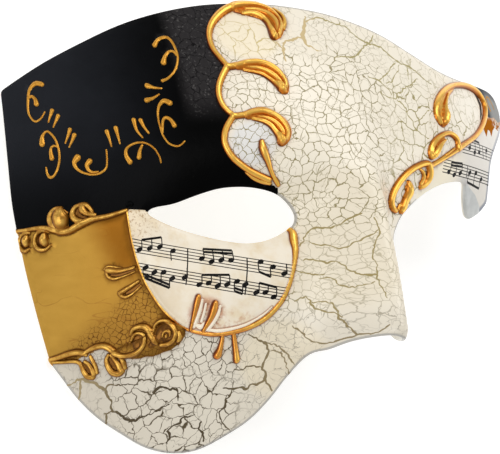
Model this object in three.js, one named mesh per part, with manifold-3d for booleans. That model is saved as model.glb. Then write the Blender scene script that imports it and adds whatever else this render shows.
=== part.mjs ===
// Masquerade mask: a moulded half mask for the upper face, with one long cheek and one cut-away side.
//
// The mask is first drawn flat, on a sheet. A point of the sheet has s, the length of the girth measured
// from the middle of the nose towards the wearer's left, y, the height up the face, and t, the height over
// the outer skin. wrap() then lays the sheet on the form of the face, and restOnEdges() lays the mask down
// on its edges, face up. All lengths are in millimetres.

import * as THREE from 'three';
import { mergeVertices } from 'three/addons/utils/BufferGeometryUtils.js';
import Module from 'manifold-3d';

// Form of the face. The girth is a catenary, and the forehead and the cheek are two parabolas down the face.
const CROWN_HEIGHT = 84;
const CROWN_Y = 11.5;
const FOREHEAD_RADIUS = 76;
const CHEEK_RADIUS = 160;
const GIRTH_SCALE = 79;

// Nose: a ridge that grows from the bridge to the tip in a slightly hollow line and turns under below it.
// Its far wall, past the cut edge of the mask, is steeper than the near one.
const BRIDGE = { y: 8, height: 7.6, width: 9 };
const TIP = { y: -38, height: 27, width: 13.5 };
const RIDGE_HOLLOW = 0.2;
const FAR_WALL_SHARE = 0.5;
const RIDGE_TOP_Y = 24;
const RIDGE_FADE = 22;
const UNDER_TIP = 14;

// Eye socket: a shallow hollow on both sides of the nose.
const SOCKET = { depth: 9.5, s: 38, y: 1, width: 24, height: 14 };

// The wall, the rise of the plate under the eye, and how far a relief is rooted in the wall.
const WALL = 2;
const PLATE_RISE = 0.9;
const ROOT = 0.8;

// A relief rises by RISE, and by RISE_PER_WIDTH for each millimetre of its width, up to MAX_RISE.
const RISE = 0.7;
const RISE_PER_WIDTH = 0.25;
const MAX_RISE = 2.2;
const SINK = 0.25;
const BAR_SIDES = 8;
const STEPS_PER_POINT = 1.4;

// Outline of the shell on the sheet, as runs of [s, y] that meet at its corners.
const TOP_EDGE = [[-117.5, 46], [-101, 53.3], [-85, 59.3], [-70, 64.5], [-56, 67.9], [-42, 69.9],
  [-29, 70.2], [-18, 69.6], [-5, 67.6], [5.5, 64.8], [16.5, 60.7], [27.5, 55.1], [40, 50.4], [54, 48.8],
  [72, 49.2], [88, 50], [99, 49.8]];
const FAR_EDGE = [[99, 49.8], [103, 47.5], [102, 43], [90, 35.5], [77, 28.5], [69, 22.8], [66, 17], [65.3, 8]];
const TAB_EDGE = [[65.3, 8], [61, 4.9], [57.3, 3.2], [54.6, 2.3], [52.6, 3.6], [50.4, 8], [48.8, 12.9]];
const BROW_EDGE = [[48.8, 12.9], [43.5, 13], [35.2, 11.4], [27.1, 8.1], [20, 3.8], [14.5, -0.6], [10.8, -6]];
const NOSE_EDGE = [[10.8, -6], [9.6, -12], [9.8, -18], [10.8, -25], [11, -30.5], [9.4, -35.5], [6, -39.6],
  [2.5, -41.4], [-0.5, -40.8], [-3.5, -39.9], [-7, -39.9], [-11, -40.6], [-15, -42.7]];
const CHEEK_EDGE = [[-15, -42.7], [-18, -43], [-20.2, -45], [-23.5, -50], [-27.9, -56.7], [-33, -62.5],
  [-38.6, -66.5], [-47.1, -71], [-55.5, -71.9], [-64.4, -69.9], [-73, -65.5], [-82.2, -60],
  [-90, -53.7], [-96.5, -47], [-101.5, -41.7]];
const SIDE_EDGE = [[-101.5, -41.7], [-105.5, -32.5], [-109.2, -23], [-112.8, -12.5], [-115.9, -0.5],
  [-117.9, 10], [-118.6, 22], [-118.4, 34], [-117.5, 46]];

// Eye opening, as its upper and its lower lid.
const UPPER_LID = [[-69.3, 2.6], [-66.5, 3.7], [-59.3, 4.6], [-51.3, 6.9], [-43.8, 8.6], [-35.5, 8.6],
  [-28.4, 6.9], [-24.6, 4.2], [-22.2, 0.7], [-21.9, -1.6]];
const LOWER_LID = [[-21.9, -1.6], [-23.1, -3.5], [-26.1, -5.6], [-31, -7.7], [-36.6, -8.3], [-42.6, -7.4],
  [-50.2, -5.4], [-58.4, -2.8], [-64.2, -0.5], [-68.3, 1.5], [-69.3, 2.6]];

// Plate under the eye: raised over the cheek, bounded by a thin rim and a bead. Its top run lies inside
// the eye opening, which is cut last.
const PLATE_TOP = [[-22.9, -6], [-25, -2.5], [-45, 0.5], [-66, 2.6], [-71, 4.6]];
const PLATE_SIDE = [[-71, 4.6], [-76, 3.6], [-75.3, -1.5], [-74.2, -7.5], [-72.6, -13.3], [-70.2, -19.3],
  [-66.3, -25.4], [-62, -30], [-58.6, -32.8], [-56, -34.2]];
const PLATE_BOTTOM = [[-56, -34.2], [-52.5, -35.3], [-48, -35.9], [-42.8, -35.6], [-37.3, -34.2],
  [-32.2, -31.6], [-28.3, -27.6], [-26, -23], [-24.3, -17.7], [-23.5, -12], [-22.9, -6]];

// Relief. A stroke is a run of [s, y, width] along its middle.
const FOREHEAD_SCROLL = {
  topLoop: [[-40, 46.8, 2.1], [-41.4, 50, 2], [-42.9, 53.5, 2], [-43, 57.2, 2], [-41.7, 60.7, 2.1],
    [-39.2, 63.9, 2.4], [-35.5, 66.6, 3], [-31, 68.2, 4], [-26.8, 68.2, 5.3], [-23.2, 67, 6.1],
    [-21, 64.7, 6.1], [-20.6, 61.6, 5.3], [-21.3, 58.7, 4], [-21.9, 57, 2.4]],
  middleLoop: [[-40, 46.6, 2.1], [-36.3, 47.3, 3.1], [-33, 47.7, 4.4], [-29.8, 47.4, 5.2], [-27, 46, 5.8],
    [-24.9, 43.4, 5.4], [-24, 40.6, 4.2], [-24.5, 38.2, 2.4]],
  middleRope: [[-40.3, 46.4, 2], [-42.7, 43, 2.1], [-44.2, 40, 2.2], [-44.8, 37.2, 2.2], [-44.4, 34.6, 2.1],
    [-43.1, 32.3, 2], [-41.4, 30.5, 2]],
  lowLoop: [[-41.4, 30.5, 2], [-39.5, 31, 2.9], [-36.3, 31.7, 3.6], [-33.2, 31.6, 4.4], [-30.2, 30.8, 5.2],
    [-27.7, 29, 5.5], [-26.4, 26.2, 4.9], [-26.7, 23.3, 3.9], [-27.4, 21.4, 2.4]],
  lowRope: [[-41.4, 30.5, 2], [-43.1, 28.3, 2.2], [-44.4, 25.8, 2.3], [-44.7, 23.2, 2.3], [-43.9, 20.5, 2.2],
    [-42.2, 17.9, 2], [-39.4, 15.3, 1.9], [-36.3, 13.3, 1.8], [-33.5, 11.9, 1.8], [-29, 9.9, 1.7]],
  spear: [[-33.2, 22.9, 1.6], [-33.2, 21.2, 2.5], [-32.6, 18.9, 2.5], [-31.5, 16.6, 1.9], [-30, 14.3, 1.3],
    [-27.6, 10.1, 1.5], [-26.9, 8.8, 1.2]],
};
const TEMPLE_SCROLL = {
  highCurl: [[34.8, 30.6, 3.2], [35.2, 33, 6.2], [35, 35.8, 7], [36, 39, 6.3], [38.8, 42, 4.6],
    [43.6, 44.7, 3.2], [49.9, 46.4, 2.6], [56, 47.2, 2.4], [62.3, 47.2, 2.4], [67.4, 46.2, 2.4],
    [70.4, 44, 2.3], [70.7, 41.3, 2.2], [68.7, 38.2, 2.1], [64.5, 34.6, 2], [54.6, 28.6, 2],
    [41.2, 23.4, 2.4]],
  middleCurl: [[41.2, 23.2, 2.2], [41.6, 25, 2.4], [40.6, 26.8, 2.8], [36.8, 27.6, 3], [31.8, 26.2, 3.4],
    [28.5, 23.7, 3.8], [27.4, 21.3, 3.6], [27.9, 19.6, 2.6]],
  middleDrop: [[34.7, 24.8, 1.4], [31.8, 22.8, 3], [29.8, 20.9, 3.2], [28, 19.4, 2.4]],
  stem: [[41, 23.1, 1.6], [33, 19.4, 1.6], [26.8, 16.8, 1.6]],
  lowCurl: [[26.3, 17.2, 2], [23.2, 16.9, 2.3], [19.5, 15.9, 2.5], [15.9, 14, 2.6], [12.8, 11.6, 2.7],
    [10.5, 9, 2.8], [9, 6.4, 2.8], [8.5, 3.9, 2.8], [9.4, 1.9, 2.8], [11.6, 1.2, 2.6]],
  lowHook: [[26.3, 17.2, 3.2], [26.5, 15.7, 3.6], [25.9, 13.9, 3.4], [24.8, 11.9, 3.2], [23.4, 10.1, 2.6]],
  lowDrop: [[16.9, 11.2, 2], [17, 9.9, 3.6], [16.8, 8, 3.8], [16, 5.8, 3.4], [15, 3.8, 3.2],
    [14.2, 2, 3], [13.6, 0.8, 2.2]],
};
const PLATE_BEAD = {
  bead: [[-22.9, -5.6, 1.4], [-23, -8.2, 2.3], [-23, -11.2, 2], [-23.6, -14.5, 1.6], [-24.4, -17.7, 1.6],
    [-26, -22.9, 1.7], [-28.3, -27.5, 1.9], [-32.2, -31.6, 2.1], [-37.2, -34.3, 2.1], [-42.9, -35.7, 2],
    [-48.2, -36, 1.8], [-52.9, -35.2, 1.5], [-56.1, -34.3, 1.2]],
  rim: [[-76, 3.2, 1.1], [-75.2, -1.5, 1.1], [-74.2, -7.3, 1.1], [-72.7, -13.2, 1.1], [-70.3, -19.2, 1],
    [-66.3, -25.4, 1], [-62.1, -30, 1], [-56, -34.3, 1]],
  outerDrip: [[-44.7, -36, 1.2], [-45.1, -38.1, 1.4], [-45.4, -40.4, 1.9], [-45.8, -42.2, 2.5],
    [-46, -43.4, 1.8]],
  innerDrip: [[-41.7, -35.8, 1.3], [-41.1, -38.5, 1.5], [-40.3, -41.3, 1.8], [-39.6, -43.4, 2],
    [-39.3, -44.7, 1.4]],
};
const PLATE_DRIPS = {
  outer: [[-53.5, -24.6, 1.6], [-53.8, -26, 2.1], [-54, -28.9, 1.9], [-54.4, -31.9, 1.5], [-54.8, -34.3, 1.2]],
  inner: [[-47.9, -26.8, 1.6], [-48.3, -28.2, 2.2], [-49.2, -30.9, 1.9], [-50.2, -33.1, 1.5],
    [-51.2, -35, 1.2]],
};
const PANEL_SCROLL = {
  topRope: [[-115.4, -0.4, 1.3], [-111, 0.2, 1.4], [-105.5, 0.6, 1.4], [-103.5, -0.8, 1.4], [-100, -2, 1.4],
    [-96, -1.6, 1.4], [-92.5, 0.4, 1.5], [-87.6, 1.2, 1.5], [-82.4, 1.7, 1.5], [-76.2, 3.4, 1.3]],
  topLeaf: [[-100.1, 6.4, 2.5], [-100.1, 4.6, 6], [-100.1, 2.2, 7.2], [-100.1, -0.2, 6.4], [-100.1, -2, 3]],
  topCurl: [[-94.4, 1, 1.8], [-95.1, 3.2, 2.2], [-94, 5.3, 2.8], [-91.9, 6.1, 2.8], [-89.7, 5.2, 2.6],
    [-87.6, 2.7, 1.2]],
  sideLeaf: [[-73.2, -13.8, 1.2], [-76, -14.7, 2.2], [-79.1, -15.3, 3.6], [-81.8, -15.5, 4.2],
    [-83.8, -15.1, 2.6]],
  lowSideLeaf: [[-71.6, -18.9, 1.2], [-73.2, -20, 2.6], [-75.3, -21, 3.8], [-77.6, -21.5, 2.9],
    [-79, -21.4, 1.6]],
  wave: [[-100.6, -41.2, 1.6], [-97.1, -40.6, 1.7], [-92.7, -39.8, 1.9], [-88.2, -39.3, 2], [-83.2, -37.8, 1.9],
    [-80.2, -38.6, 1.8], [-77.4, -40.2, 1.8], [-75, -41.1, 1.8], [-72.2, -41.1, 1.9], [-69.8, -40.4, 2],
    [-68, -38.6, 1.9], [-68.3, -36.3, 1.6], [-70.3, -34.8, 1.5], [-72.6, -35, 1.3], [-73.5, -36.7, 1.1]],
  lowLeaf: [[-98.2, -42.2, 1.3], [-95.9, -41.9, 1.4], [-91.4, -42, 1.6], [-88.9, -42.8, 1.9],
    [-87, -44.1, 2.6], [-85.4, -46.2, 3.6], [-84.6, -47.8, 2.2]],
  nextLeaf: [[-81.4, -40.6, 1.6], [-80.2, -42.3, 3.8], [-78.3, -44.2, 4.8], [-76.5, -45.9, 3.8],
    [-75.3, -47, 2]],
  leafRidge: [[-76.6, -41.4, 1], [-75, -43.6, 1.5], [-74.4, -45.7, 1.1]],
  hook: [[-73.7, -34.4, 1.4], [-72.5, -33.2, 1.9], [-70.6, -33, 2.1], [-68.2, -34.3, 2], [-66.4, -36.2, 1.9],
    [-65, -37.9, 1.3]],
  endCurl: [[-66.5, -34.8, 1.3], [-66.1, -32.8, 1.6], [-63.7, -31.9, 1.6], [-60.6, -33, 1.7], [-59, -35.3, 2],
    [-59.6, -37.9, 2.1], [-62, -39.1, 1.9], [-64.3, -38.1, 1.4]],
};

// Grid of the sheet: columns and rows close together on the nose and wider apart elsewhere.
const COLUMNS = { from: -124, to: 110, wide: 5.6, fine: 2.6, fineFrom: -21, fineTo: 21 };
const ROWS = { from: -77, to: 76, wide: 5.4, fine: 3.4, fineFrom: -46, fineTo: -28 };

// The flat sheet is bowed while it is cut and joined, so that no two of its facets lie in one plane.
const BOW = 0.0004;

// Outlines are cut in steps of about this length, and the cutters reach this far past the sheet.
const OUTLINE_STEP = 4.2;
const CUTTER_REACH = 60;

// Slopes of the form are taken over this step, and points closer than this are one point.
const SLOPE_STEP = 0.02;
const SAME_POINT = 1e-4;

// Three places on the inner edge of the shell that it rests on when it lies face up.
const REST_POINTS = [[-117.5, 46], [-101.5, -41.7], [103, 47.5]];

const wasm = await Module();
wasm.setup();

const smooth = (value) => {
  const v = THREE.MathUtils.clamp(value, 0, 1);
  return v * v * (3 - 2 * v);
};

function formHeight(x, y) {
  const dy = y - CROWN_Y;
  const radius = dy > 0 ? FOREHEAD_RADIUS : CHEEK_RADIUS;
  const girth = GIRTH_SCALE * (Math.cosh(x / GIRTH_SCALE) - 1);
  const along = THREE.MathUtils.clamp((BRIDGE.y - y) / (BRIDGE.y - TIP.y), 0, 1);
  const under = THREE.MathUtils.clamp((TIP.y - y) / UNDER_TIP, 0, 1);
  const growth = along * (1 - RIDGE_HOLLOW + RIDGE_HOLLOW * along);
  const ridge = THREE.MathUtils.lerp(BRIDGE.height, TIP.height, growth)
    * smooth((RIDGE_TOP_Y - y) / RIDGE_FADE) * (1 - under * under);
  const ridgeWidth = THREE.MathUtils.lerp(BRIDGE.width, TIP.width, along) * (x > 0 ? FAR_WALL_SHARE : 1);
  const nose = ridge * Math.exp(-((x / ridgeWidth) ** 2));
  const across = (Math.abs(x) - SOCKET.s) / SOCKET.width;
  const socket = SOCKET.depth * Math.exp(-(across ** 2) - ((y - SOCKET.y) / SOCKET.height) ** 2);
  return CROWN_HEIGHT - dy * dy / (2 * radius) - girth + nose - socket;
}

// Place of a sheet point on the form, t above the outer skin.
function wrap(s, y, t) {
  const x = GIRTH_SCALE * Math.asinh(s / GIRTH_SCALE);
  const slopeX = (formHeight(x + SLOPE_STEP, y) - formHeight(x - SLOPE_STEP, y)) / (2 * SLOPE_STEP);
  const slopeY = (formHeight(x, y + SLOPE_STEP) - formHeight(x, y - SLOPE_STEP)) / (2 * SLOPE_STEP);
  const normal = new THREE.Vector3(-slopeX, -slopeY, 1).normalize();
  return new THREE.Vector3(x, y, formHeight(x, y)).addScaledVector(normal, t);
}

const bow = (s, y) => BOW * (s * s + y * y);

// A closed three.js geometry on the sheet becomes a solid on the bowed sheet.
function sheetSolid(geometry) {
  geometry.deleteAttribute('normal');
  geometry.deleteAttribute('uv');
  const merged = mergeVertices(geometry, SAME_POINT);
  const place = merged.attributes.position;
  for (let i = 0; i < place.count; i += 1) {
    place.setZ(i, place.getZ(i) + bow(place.getX(i), place.getY(i)));
  }
  const mesh = new wasm.Mesh({
    numProp: 3,
    vertProperties: new Float32Array(place.array),
    triVerts: new Uint32Array(merged.index.array),
  });
  return new wasm.Manifold(mesh);
}

// Grid lines from one end to the other, with a finer stretch between.
function gridLines({ from, to, wide, fine, fineFrom, fineTo }) {
  const lines = [];
  const stretch = (a, b, step) => {
    const count = Math.ceil((b - a) / step);
    for (let i = 0; i < count; i += 1) {
      lines.push(a + (b - a) * i / count);
    }
  };
  stretch(from, fineFrom, wide);
  stretch(fineFrom, fineTo, fine);
  stretch(fineTo, to, wide);
  lines.push(to);
  return lines;
}

// A slab of the whole sheet between two heights, divided along the grid lines.
function slab(low, high) {
  const columns = gridLines(COLUMNS);
  const rows = gridLines(ROWS);
  const geometry = new THREE.BoxGeometry(1, 1, 1, columns.length - 1, rows.length - 1, 1);
  const place = geometry.attributes.position;
  for (let i = 0; i < place.count; i += 1) {
    const column = Math.round((place.getX(i) + 0.5) * (columns.length - 1));
    const row = Math.round((place.getY(i) + 0.5) * (rows.length - 1));
    place.setXYZ(i, columns[column], rows[row], place.getZ(i) > 0 ? high : low);
  }
  return sheetSolid(geometry);
}

// A cutter that follows a closed outline through the whole sheet.
function cutter(runs) {
  const points = [];
  for (const run of runs) {
    const curve = new THREE.SplineCurve(run.map(([s, y]) => new THREE.Vector2(s, y)));
    const count = Math.max(1, Math.round(curve.getLength() / OUTLINE_STEP));
    points.push(...curve.getSpacedPoints(count).slice(0, -1));
  }
  const geometry = new THREE.ExtrudeGeometry(new THREE.Shape(points), {
    depth: 2 * CUTTER_REACH,
    bevelEnabled: false,
  });
  geometry.translate(0, 0, -CUTTER_REACH);
  return sheetSolid(geometry);
}

// A relief stroke: an eight-sided bar bent along the middle of the stroke, as wide and as high as its
// width asks. Its widest corners and its middle stay off the skin, so that it crosses the skin cleanly.
function relief(stroke, base) {
  const curve = new THREE.CatmullRomCurve3(stroke.map(([s, y, w]) => new THREE.Vector3(s, y, w)));
  const steps = Math.ceil(STEPS_PER_POINT * (stroke.length - 1));
  const halfTurn = Math.PI / BAR_SIDES;
  const geometry = new THREE.CylinderGeometry(1, 1, 1, BAR_SIDES, steps, false, halfTurn);
  const place = geometry.attributes.position;
  for (let i = 0; i < place.count; i += 1) {
    const u = THREE.MathUtils.clamp(place.getY(i) + 0.5, 0, 1);
    const middle = curve.getPoint(u);
    const along = curve.getTangent(u).setZ(0).normalize();
    const across = place.getX(i) / Math.cos(halfTurn) * middle.z / 2;
    const rise = Math.min(MAX_RISE, RISE + RISE_PER_WIDTH * middle.z);
    const up = place.getZ(i);
    place.setXYZ(i, middle.x + along.y * across, middle.y - along.x * across,
      base - SINK + up * (up > 0 ? rise + SINK : ROOT));
  }
  return sheetSolid(geometry);
}

// Joins every stroke of a set to a solid.
const addReliefs = (solid, strokes, base) =>
  Object.values(strokes).reduce((sum, stroke) => sum.add(relief(stroke, base)), solid);

function maskSolid() {
  const outline = cutter([TOP_EDGE, FAR_EDGE, TAB_EDGE, BROW_EDGE, NOSE_EDGE, CHEEK_EDGE, SIDE_EDGE]);
  const eye = cutter([UPPER_LID, LOWER_LID]);
  const underEye = cutter([PLATE_TOP, PLATE_SIDE, PLATE_BOTTOM]);
  const plate = slab(-ROOT, PLATE_RISE).intersect(underEye);
  let solid = slab(-WALL, 0).intersect(outline).add(plate);
  solid = addReliefs(solid, FOREHEAD_SCROLL, 0);
  solid = addReliefs(solid, TEMPLE_SCROLL, 0);
  solid = addReliefs(solid, PANEL_SCROLL, 0);
  solid = addReliefs(solid, PLATE_BEAD, 0);
  solid = addReliefs(solid, PLATE_DRIPS, PLATE_RISE);
  return solid.subtract(eye);
}

// The finished solid is laid on the form.
function onForm(solid) {
  const mesh = solid.getMesh();
  const place = new THREE.BufferAttribute(new Float32Array(mesh.vertProperties), 3);
  for (let i = 0; i < place.count; i += 1) {
    const s = place.getX(i);
    const y = place.getY(i);
    const point = wrap(s, y, place.getZ(i) - bow(s, y));
    place.setXYZ(i, point.x, point.y, point.z);
  }
  const geometry = new THREE.BufferGeometry();
  geometry.setAttribute('position', place);
  geometry.setIndex(new THREE.BufferAttribute(new Uint32Array(mesh.triVerts), 1));
  return geometry;
}

// Turns the mask so that its three rest points are level, and centres it over the origin.
function restOnEdges(geometry) {
  const [a, b, c] = REST_POINTS.map(([s, y]) => wrap(s, y, -WALL));
  const normal = c.sub(a).cross(b.sub(a)).normalize();
  if (normal.z < 0) {
    normal.negate();
  }
  geometry.applyQuaternion(new THREE.Quaternion().setFromUnitVectors(normal, new THREE.Vector3(0, 0, 1)));
  geometry.computeBoundingBox();
  const box = geometry.boundingBox;
  geometry.translate(-(box.min.x + box.max.x) / 2, -(box.min.y + box.max.y) / 2, -box.min.z);
  return geometry;
}

const shellGeometry = restOnEdges(onForm(maskSolid()));
shellGeometry.computeVertexNormals();

const shell = new THREE.Mesh(
  shellGeometry,
  new THREE.MeshStandardMaterial({ color: 0xe9dec9, roughness: 0.35, metalness: 0 }),
);
shell.name = 'mask_shell';

const group = new THREE.Group();
group.add(shell);

export default group;
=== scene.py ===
import math

import bpy
import numpy as np
from mathutils import Matrix, Vector
from mathutils.geometry import delaunay_2d_cdt
from mathutils.kdtree import KDTree


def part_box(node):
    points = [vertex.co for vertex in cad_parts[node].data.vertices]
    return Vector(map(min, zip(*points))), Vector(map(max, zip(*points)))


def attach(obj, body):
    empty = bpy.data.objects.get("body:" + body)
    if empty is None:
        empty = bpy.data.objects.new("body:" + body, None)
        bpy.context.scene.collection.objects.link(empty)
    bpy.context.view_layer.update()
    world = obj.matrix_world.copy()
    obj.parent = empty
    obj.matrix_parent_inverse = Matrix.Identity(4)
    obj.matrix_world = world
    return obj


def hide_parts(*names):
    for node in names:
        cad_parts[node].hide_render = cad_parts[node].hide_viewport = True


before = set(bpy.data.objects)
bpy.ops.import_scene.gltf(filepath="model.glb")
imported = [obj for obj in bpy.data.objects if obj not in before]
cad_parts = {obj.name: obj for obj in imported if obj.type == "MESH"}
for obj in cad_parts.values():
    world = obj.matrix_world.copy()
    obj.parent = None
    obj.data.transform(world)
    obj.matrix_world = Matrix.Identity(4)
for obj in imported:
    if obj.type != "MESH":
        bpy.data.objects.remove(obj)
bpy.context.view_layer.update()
bpy.ops.object.select_all(action="DESELECT")

# The form of the mask.
# The shell is moulded over a face. It is laid out flat on a sheet and wrapped on the form: s is the girth
# from the nose towards the wearer's left, y runs up the face and t out of the skin, in millimetres.
MM = 0.001
CROWN_HEIGHT, CROWN_Y = 84.0, 11.5
FOREHEAD_RADIUS, CHEEK_RADIUS = 76.0, 160.0
GIRTH_SCALE = 79.0
BRIDGE_Y, BRIDGE_HEIGHT, BRIDGE_WIDTH = 8.0, 7.6, 9.0
TIP_Y, TIP_HEIGHT, TIP_WIDTH = -38.0, 27.0, 13.5
RIDGE_HOLLOW, FAR_WALL_SHARE = 0.2, 0.5
RIDGE_TOP_Y, RIDGE_FADE, UNDER_TIP = 24.0, 22.0, 14.0
SOCKET_DEPTH, SOCKET_S, SOCKET_Y, SOCKET_WIDTH, SOCKET_HEIGHT = 9.5, 38.0, 1.0, 24.0, 14.0
WALL = 2.0
SLOPE_STEP = 0.02


def smooth(value):
    value = np.clip(value, 0, 1)
    return value * value * (3 - 2 * value)


def form_height(x, y):
    """The height of the outer skin, in millimetres, at places across and up the face."""
    dy = y - CROWN_Y
    radius = np.where(dy > 0, FOREHEAD_RADIUS, CHEEK_RADIUS)
    girth = GIRTH_SCALE * (np.cosh(x / GIRTH_SCALE) - 1)
    along = np.clip((BRIDGE_Y - y) / (BRIDGE_Y - TIP_Y), 0, 1)
    under = np.clip((TIP_Y - y) / UNDER_TIP, 0, 1)
    growth = along * (1 - RIDGE_HOLLOW + RIDGE_HOLLOW * along)
    ridge = BRIDGE_HEIGHT + (TIP_HEIGHT - BRIDGE_HEIGHT) * growth
    ridge = ridge * smooth((RIDGE_TOP_Y - y) / RIDGE_FADE) * (1 - under * under)
    width = (BRIDGE_WIDTH + (TIP_WIDTH - BRIDGE_WIDTH) * along) * np.where(x > 0, FAR_WALL_SHARE, 1)
    nose = ridge * np.exp(-((x / width) ** 2))
    across_socket = (np.abs(x) - SOCKET_S) / SOCKET_WIDTH
    socket = SOCKET_DEPTH * np.exp(-(across_socket ** 2) - ((y - SOCKET_Y) / SOCKET_HEIGHT) ** 2)
    return CROWN_HEIGHT - dy * dy / (2 * radius) - girth + nose - socket


def wrap(s, y, t):
    """Places of the sheet laid on the form, t over the outer skin."""
    x = GIRTH_SCALE * np.arcsinh(s / GIRTH_SCALE)
    slope_x = (form_height(x + SLOPE_STEP, y) - form_height(x - SLOPE_STEP, y)) / (2 * SLOPE_STEP)
    slope_y = (form_height(x, y + SLOPE_STEP) - form_height(x, y - SLOPE_STEP)) / (2 * SLOPE_STEP)
    normal = np.stack([-slope_x, -slope_y, np.ones_like(slope_x)], -1)
    normal /= np.linalg.norm(normal, axis=-1, keepdims=True)
    return np.stack([x, y, form_height(x, y)], -1) + normal * np.asarray(t)[..., None]


# The outline of the shell and its eye opening.
# The moulding is trimmed round a half face with one long cheek, and one eye is cut out of it. The runs meet
# at its corners.
TOP_EDGE = [[-117.5, 46], [-101, 53.3], [-85, 59.3], [-70, 64.5], [-56, 67.9], [-42, 69.9], [-29, 70.2],
            [-18, 69.6], [-5, 67.6], [5.5, 64.8], [16.5, 60.7], [27.5, 55.1], [40, 50.4], [54, 48.8],
            [72, 49.2], [88, 50], [99, 49.8]]
FAR_EDGE = [[99, 49.8], [103, 47.5], [102, 43], [90, 35.5], [77, 28.5], [69, 22.8], [66, 17], [65.3, 8]]
TAB_EDGE = [[65.3, 8], [61, 4.9], [57.3, 3.2], [54.6, 2.3], [52.6, 3.6], [50.4, 8], [48.8, 12.9]]
BROW_EDGE = [[48.8, 12.9], [43.5, 13], [35.2, 11.4], [27.1, 8.1], [20, 3.8], [14.5, -0.6], [10.8, -6]]
NOSE_EDGE = [[10.8, -6], [9.6, -12], [9.8, -18], [10.8, -25], [11, -30.5], [9.4, -35.5], [6, -39.6],
             [2.5, -41.4], [-0.5, -40.8], [-3.5, -39.9], [-7, -39.9], [-11, -40.6], [-15, -42.7]]
CHEEK_EDGE = [[-15, -42.7], [-18, -43], [-20.2, -45], [-23.5, -50], [-27.9, -56.7], [-33, -62.5],
              [-38.6, -66.5], [-47.1, -71], [-55.5, -71.9], [-64.4, -69.9], [-73, -65.5], [-82.2, -60],
              [-90, -53.7], [-96.5, -47], [-101.5, -41.7]]
SIDE_EDGE = [[-101.5, -41.7], [-105.5, -32.5], [-109.2, -23], [-112.8, -12.5], [-115.9, -0.5], [-117.9, 10],
             [-118.6, 22], [-118.4, 34], [-117.5, 46]]
UPPER_LID = [[-69.3, 2.6], [-66.5, 3.7], [-59.3, 4.6], [-51.3, 6.9], [-43.8, 8.6], [-35.5, 8.6],
             [-28.4, 6.9], [-24.6, 4.2], [-22.2, 0.7], [-21.9, -1.6]]
LOWER_LID = [[-21.9, -1.6], [-23.1, -3.5], [-26.1, -5.6], [-31, -7.7], [-36.6, -8.3], [-42.6, -7.4],
             [-50.2, -5.4], [-58.4, -2.8], [-64.2, -0.5], [-68.3, 1.5], [-69.3, 2.6]]
EDGE_STEP = 0.7
FINE_STEPS = 24


def smooth_run(points, step):
    """A smooth line through points, divided evenly in steps of about the given length."""
    points = np.array(points, float)
    ends = np.vstack([points[:1], points, points[-1:]])
    u = np.linspace(0, 1, FINE_STEPS, endpoint=False)[:, None]
    fine = [0.5 * (2 * b + (c - a) * u + (2 * a - 5 * b + 4 * c - d) * u ** 2
                   + (3 * b - a - 3 * c + d) * u ** 3)
            for a, b, c, d in zip(ends, ends[1:], ends[2:], ends[3:])]
    fine = np.vstack(fine + [points[-1:]])
    length = np.concatenate([[0], np.cumsum(np.hypot(*np.diff(fine[:, :2], axis=0).T))])
    at = np.linspace(0, length[-1], max(1, round(length[-1] / step)) + 1)
    return np.column_stack([np.interp(at, length, column) for column in fine.T])


def closed_line(runs, step):
    """One closed line from runs that meet end to start."""
    return np.vstack([smooth_run(run, step)[:-1] for run in runs])


outline = closed_line([TOP_EDGE, FAR_EDGE, TAB_EDGE, BROW_EDGE, NOSE_EDGE, CHEEK_EDGE, SIDE_EDGE], EDGE_STEP)
eye = closed_line([UPPER_LID, LOWER_LID], EDGE_STEP)

# The lie of the mask.
# It lies face up on three points of its inner edge, with nothing under it. The edge is rounded, which lets it
# down by a little.
REST_SINK = 0.25
REST_POINTS = np.array([[-117.5, 46], [-101.5, -41.7], [103, 47.5]])
rest_a, rest_b, rest_c = wrap(REST_POINTS[:, 0], REST_POINTS[:, 1], -WALL)
level = np.cross(rest_c - rest_a, rest_b - rest_a)
level = Vector(level * np.sign(level[2])).normalized()
turn = np.array(level.rotation_difference(Vector((0, 0, 1))).to_matrix())
rim = np.vstack([wrap(outline[:, 0], outline[:, 1], t) @ turn.T for t in (0, -WALL)])
box_low, box_high = (np.array(corner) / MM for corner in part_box("mask_shell"))
shift = (box_low + box_high - rim.min(0) - rim.max(0)) / 2
shift[2] = box_low[2] - rim[:, 2].min() - REST_SINK


def lay(points):
    """Points of the face, in millimetres, in the row's frame in metres."""
    return (points @ turn.T + shift) * MM


# The view.
# The camera stands where the photograph was taken from, above the lying mask and to the side of its nose, and
# is turned until the middle of the form falls on its place in the picture.
PICTURE_WIDTH, PICTURE_HEIGHT = 500, 454
VIEW_ASIDE, VIEW_BELOW, VIEW_ROLL = map(math.radians, (28.5, 7.0, -2.2))
VIEW_DISTANCE = 900.0
PIXELS_PER_MM = 3.12
AIM = np.array([0, 0, 50.0])
AIM_PIXEL = (318.0, 226.6)
SENSOR = 36.0
CAMERA_REACH = 10
back = np.array([-math.sin(VIEW_ASIDE) * math.cos(VIEW_BELOW), -math.sin(VIEW_BELOW),
                 math.cos(VIEW_ASIDE) * math.cos(VIEW_BELOW)])
level_right = np.cross([0, 1, 0], back)
level_right /= np.linalg.norm(level_right)
level_up = np.cross(back, level_right)
right = math.cos(VIEW_ROLL) * level_right + math.sin(VIEW_ROLL) * level_up
up = np.cross(back, right)
focal_pixels = PIXELS_PER_MM * VIEW_DISTANCE
middle = (np.array([PICTURE_WIDTH, PICTURE_HEIGHT]) / 2 - AIM_PIXEL) / focal_pixels
eye_point = AIM + back * VIEW_DISTANCE
back = back - right * middle[0] + up * middle[1]
back /= np.linalg.norm(back)
right -= back * (right @ back)
right /= np.linalg.norm(right)
up = np.cross(back, right)
camera_data = bpy.data.cameras.new("camera")
camera_data.sensor_width = SENSOR
camera_data.lens = focal_pixels / PICTURE_WIDTH * SENSOR
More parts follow.
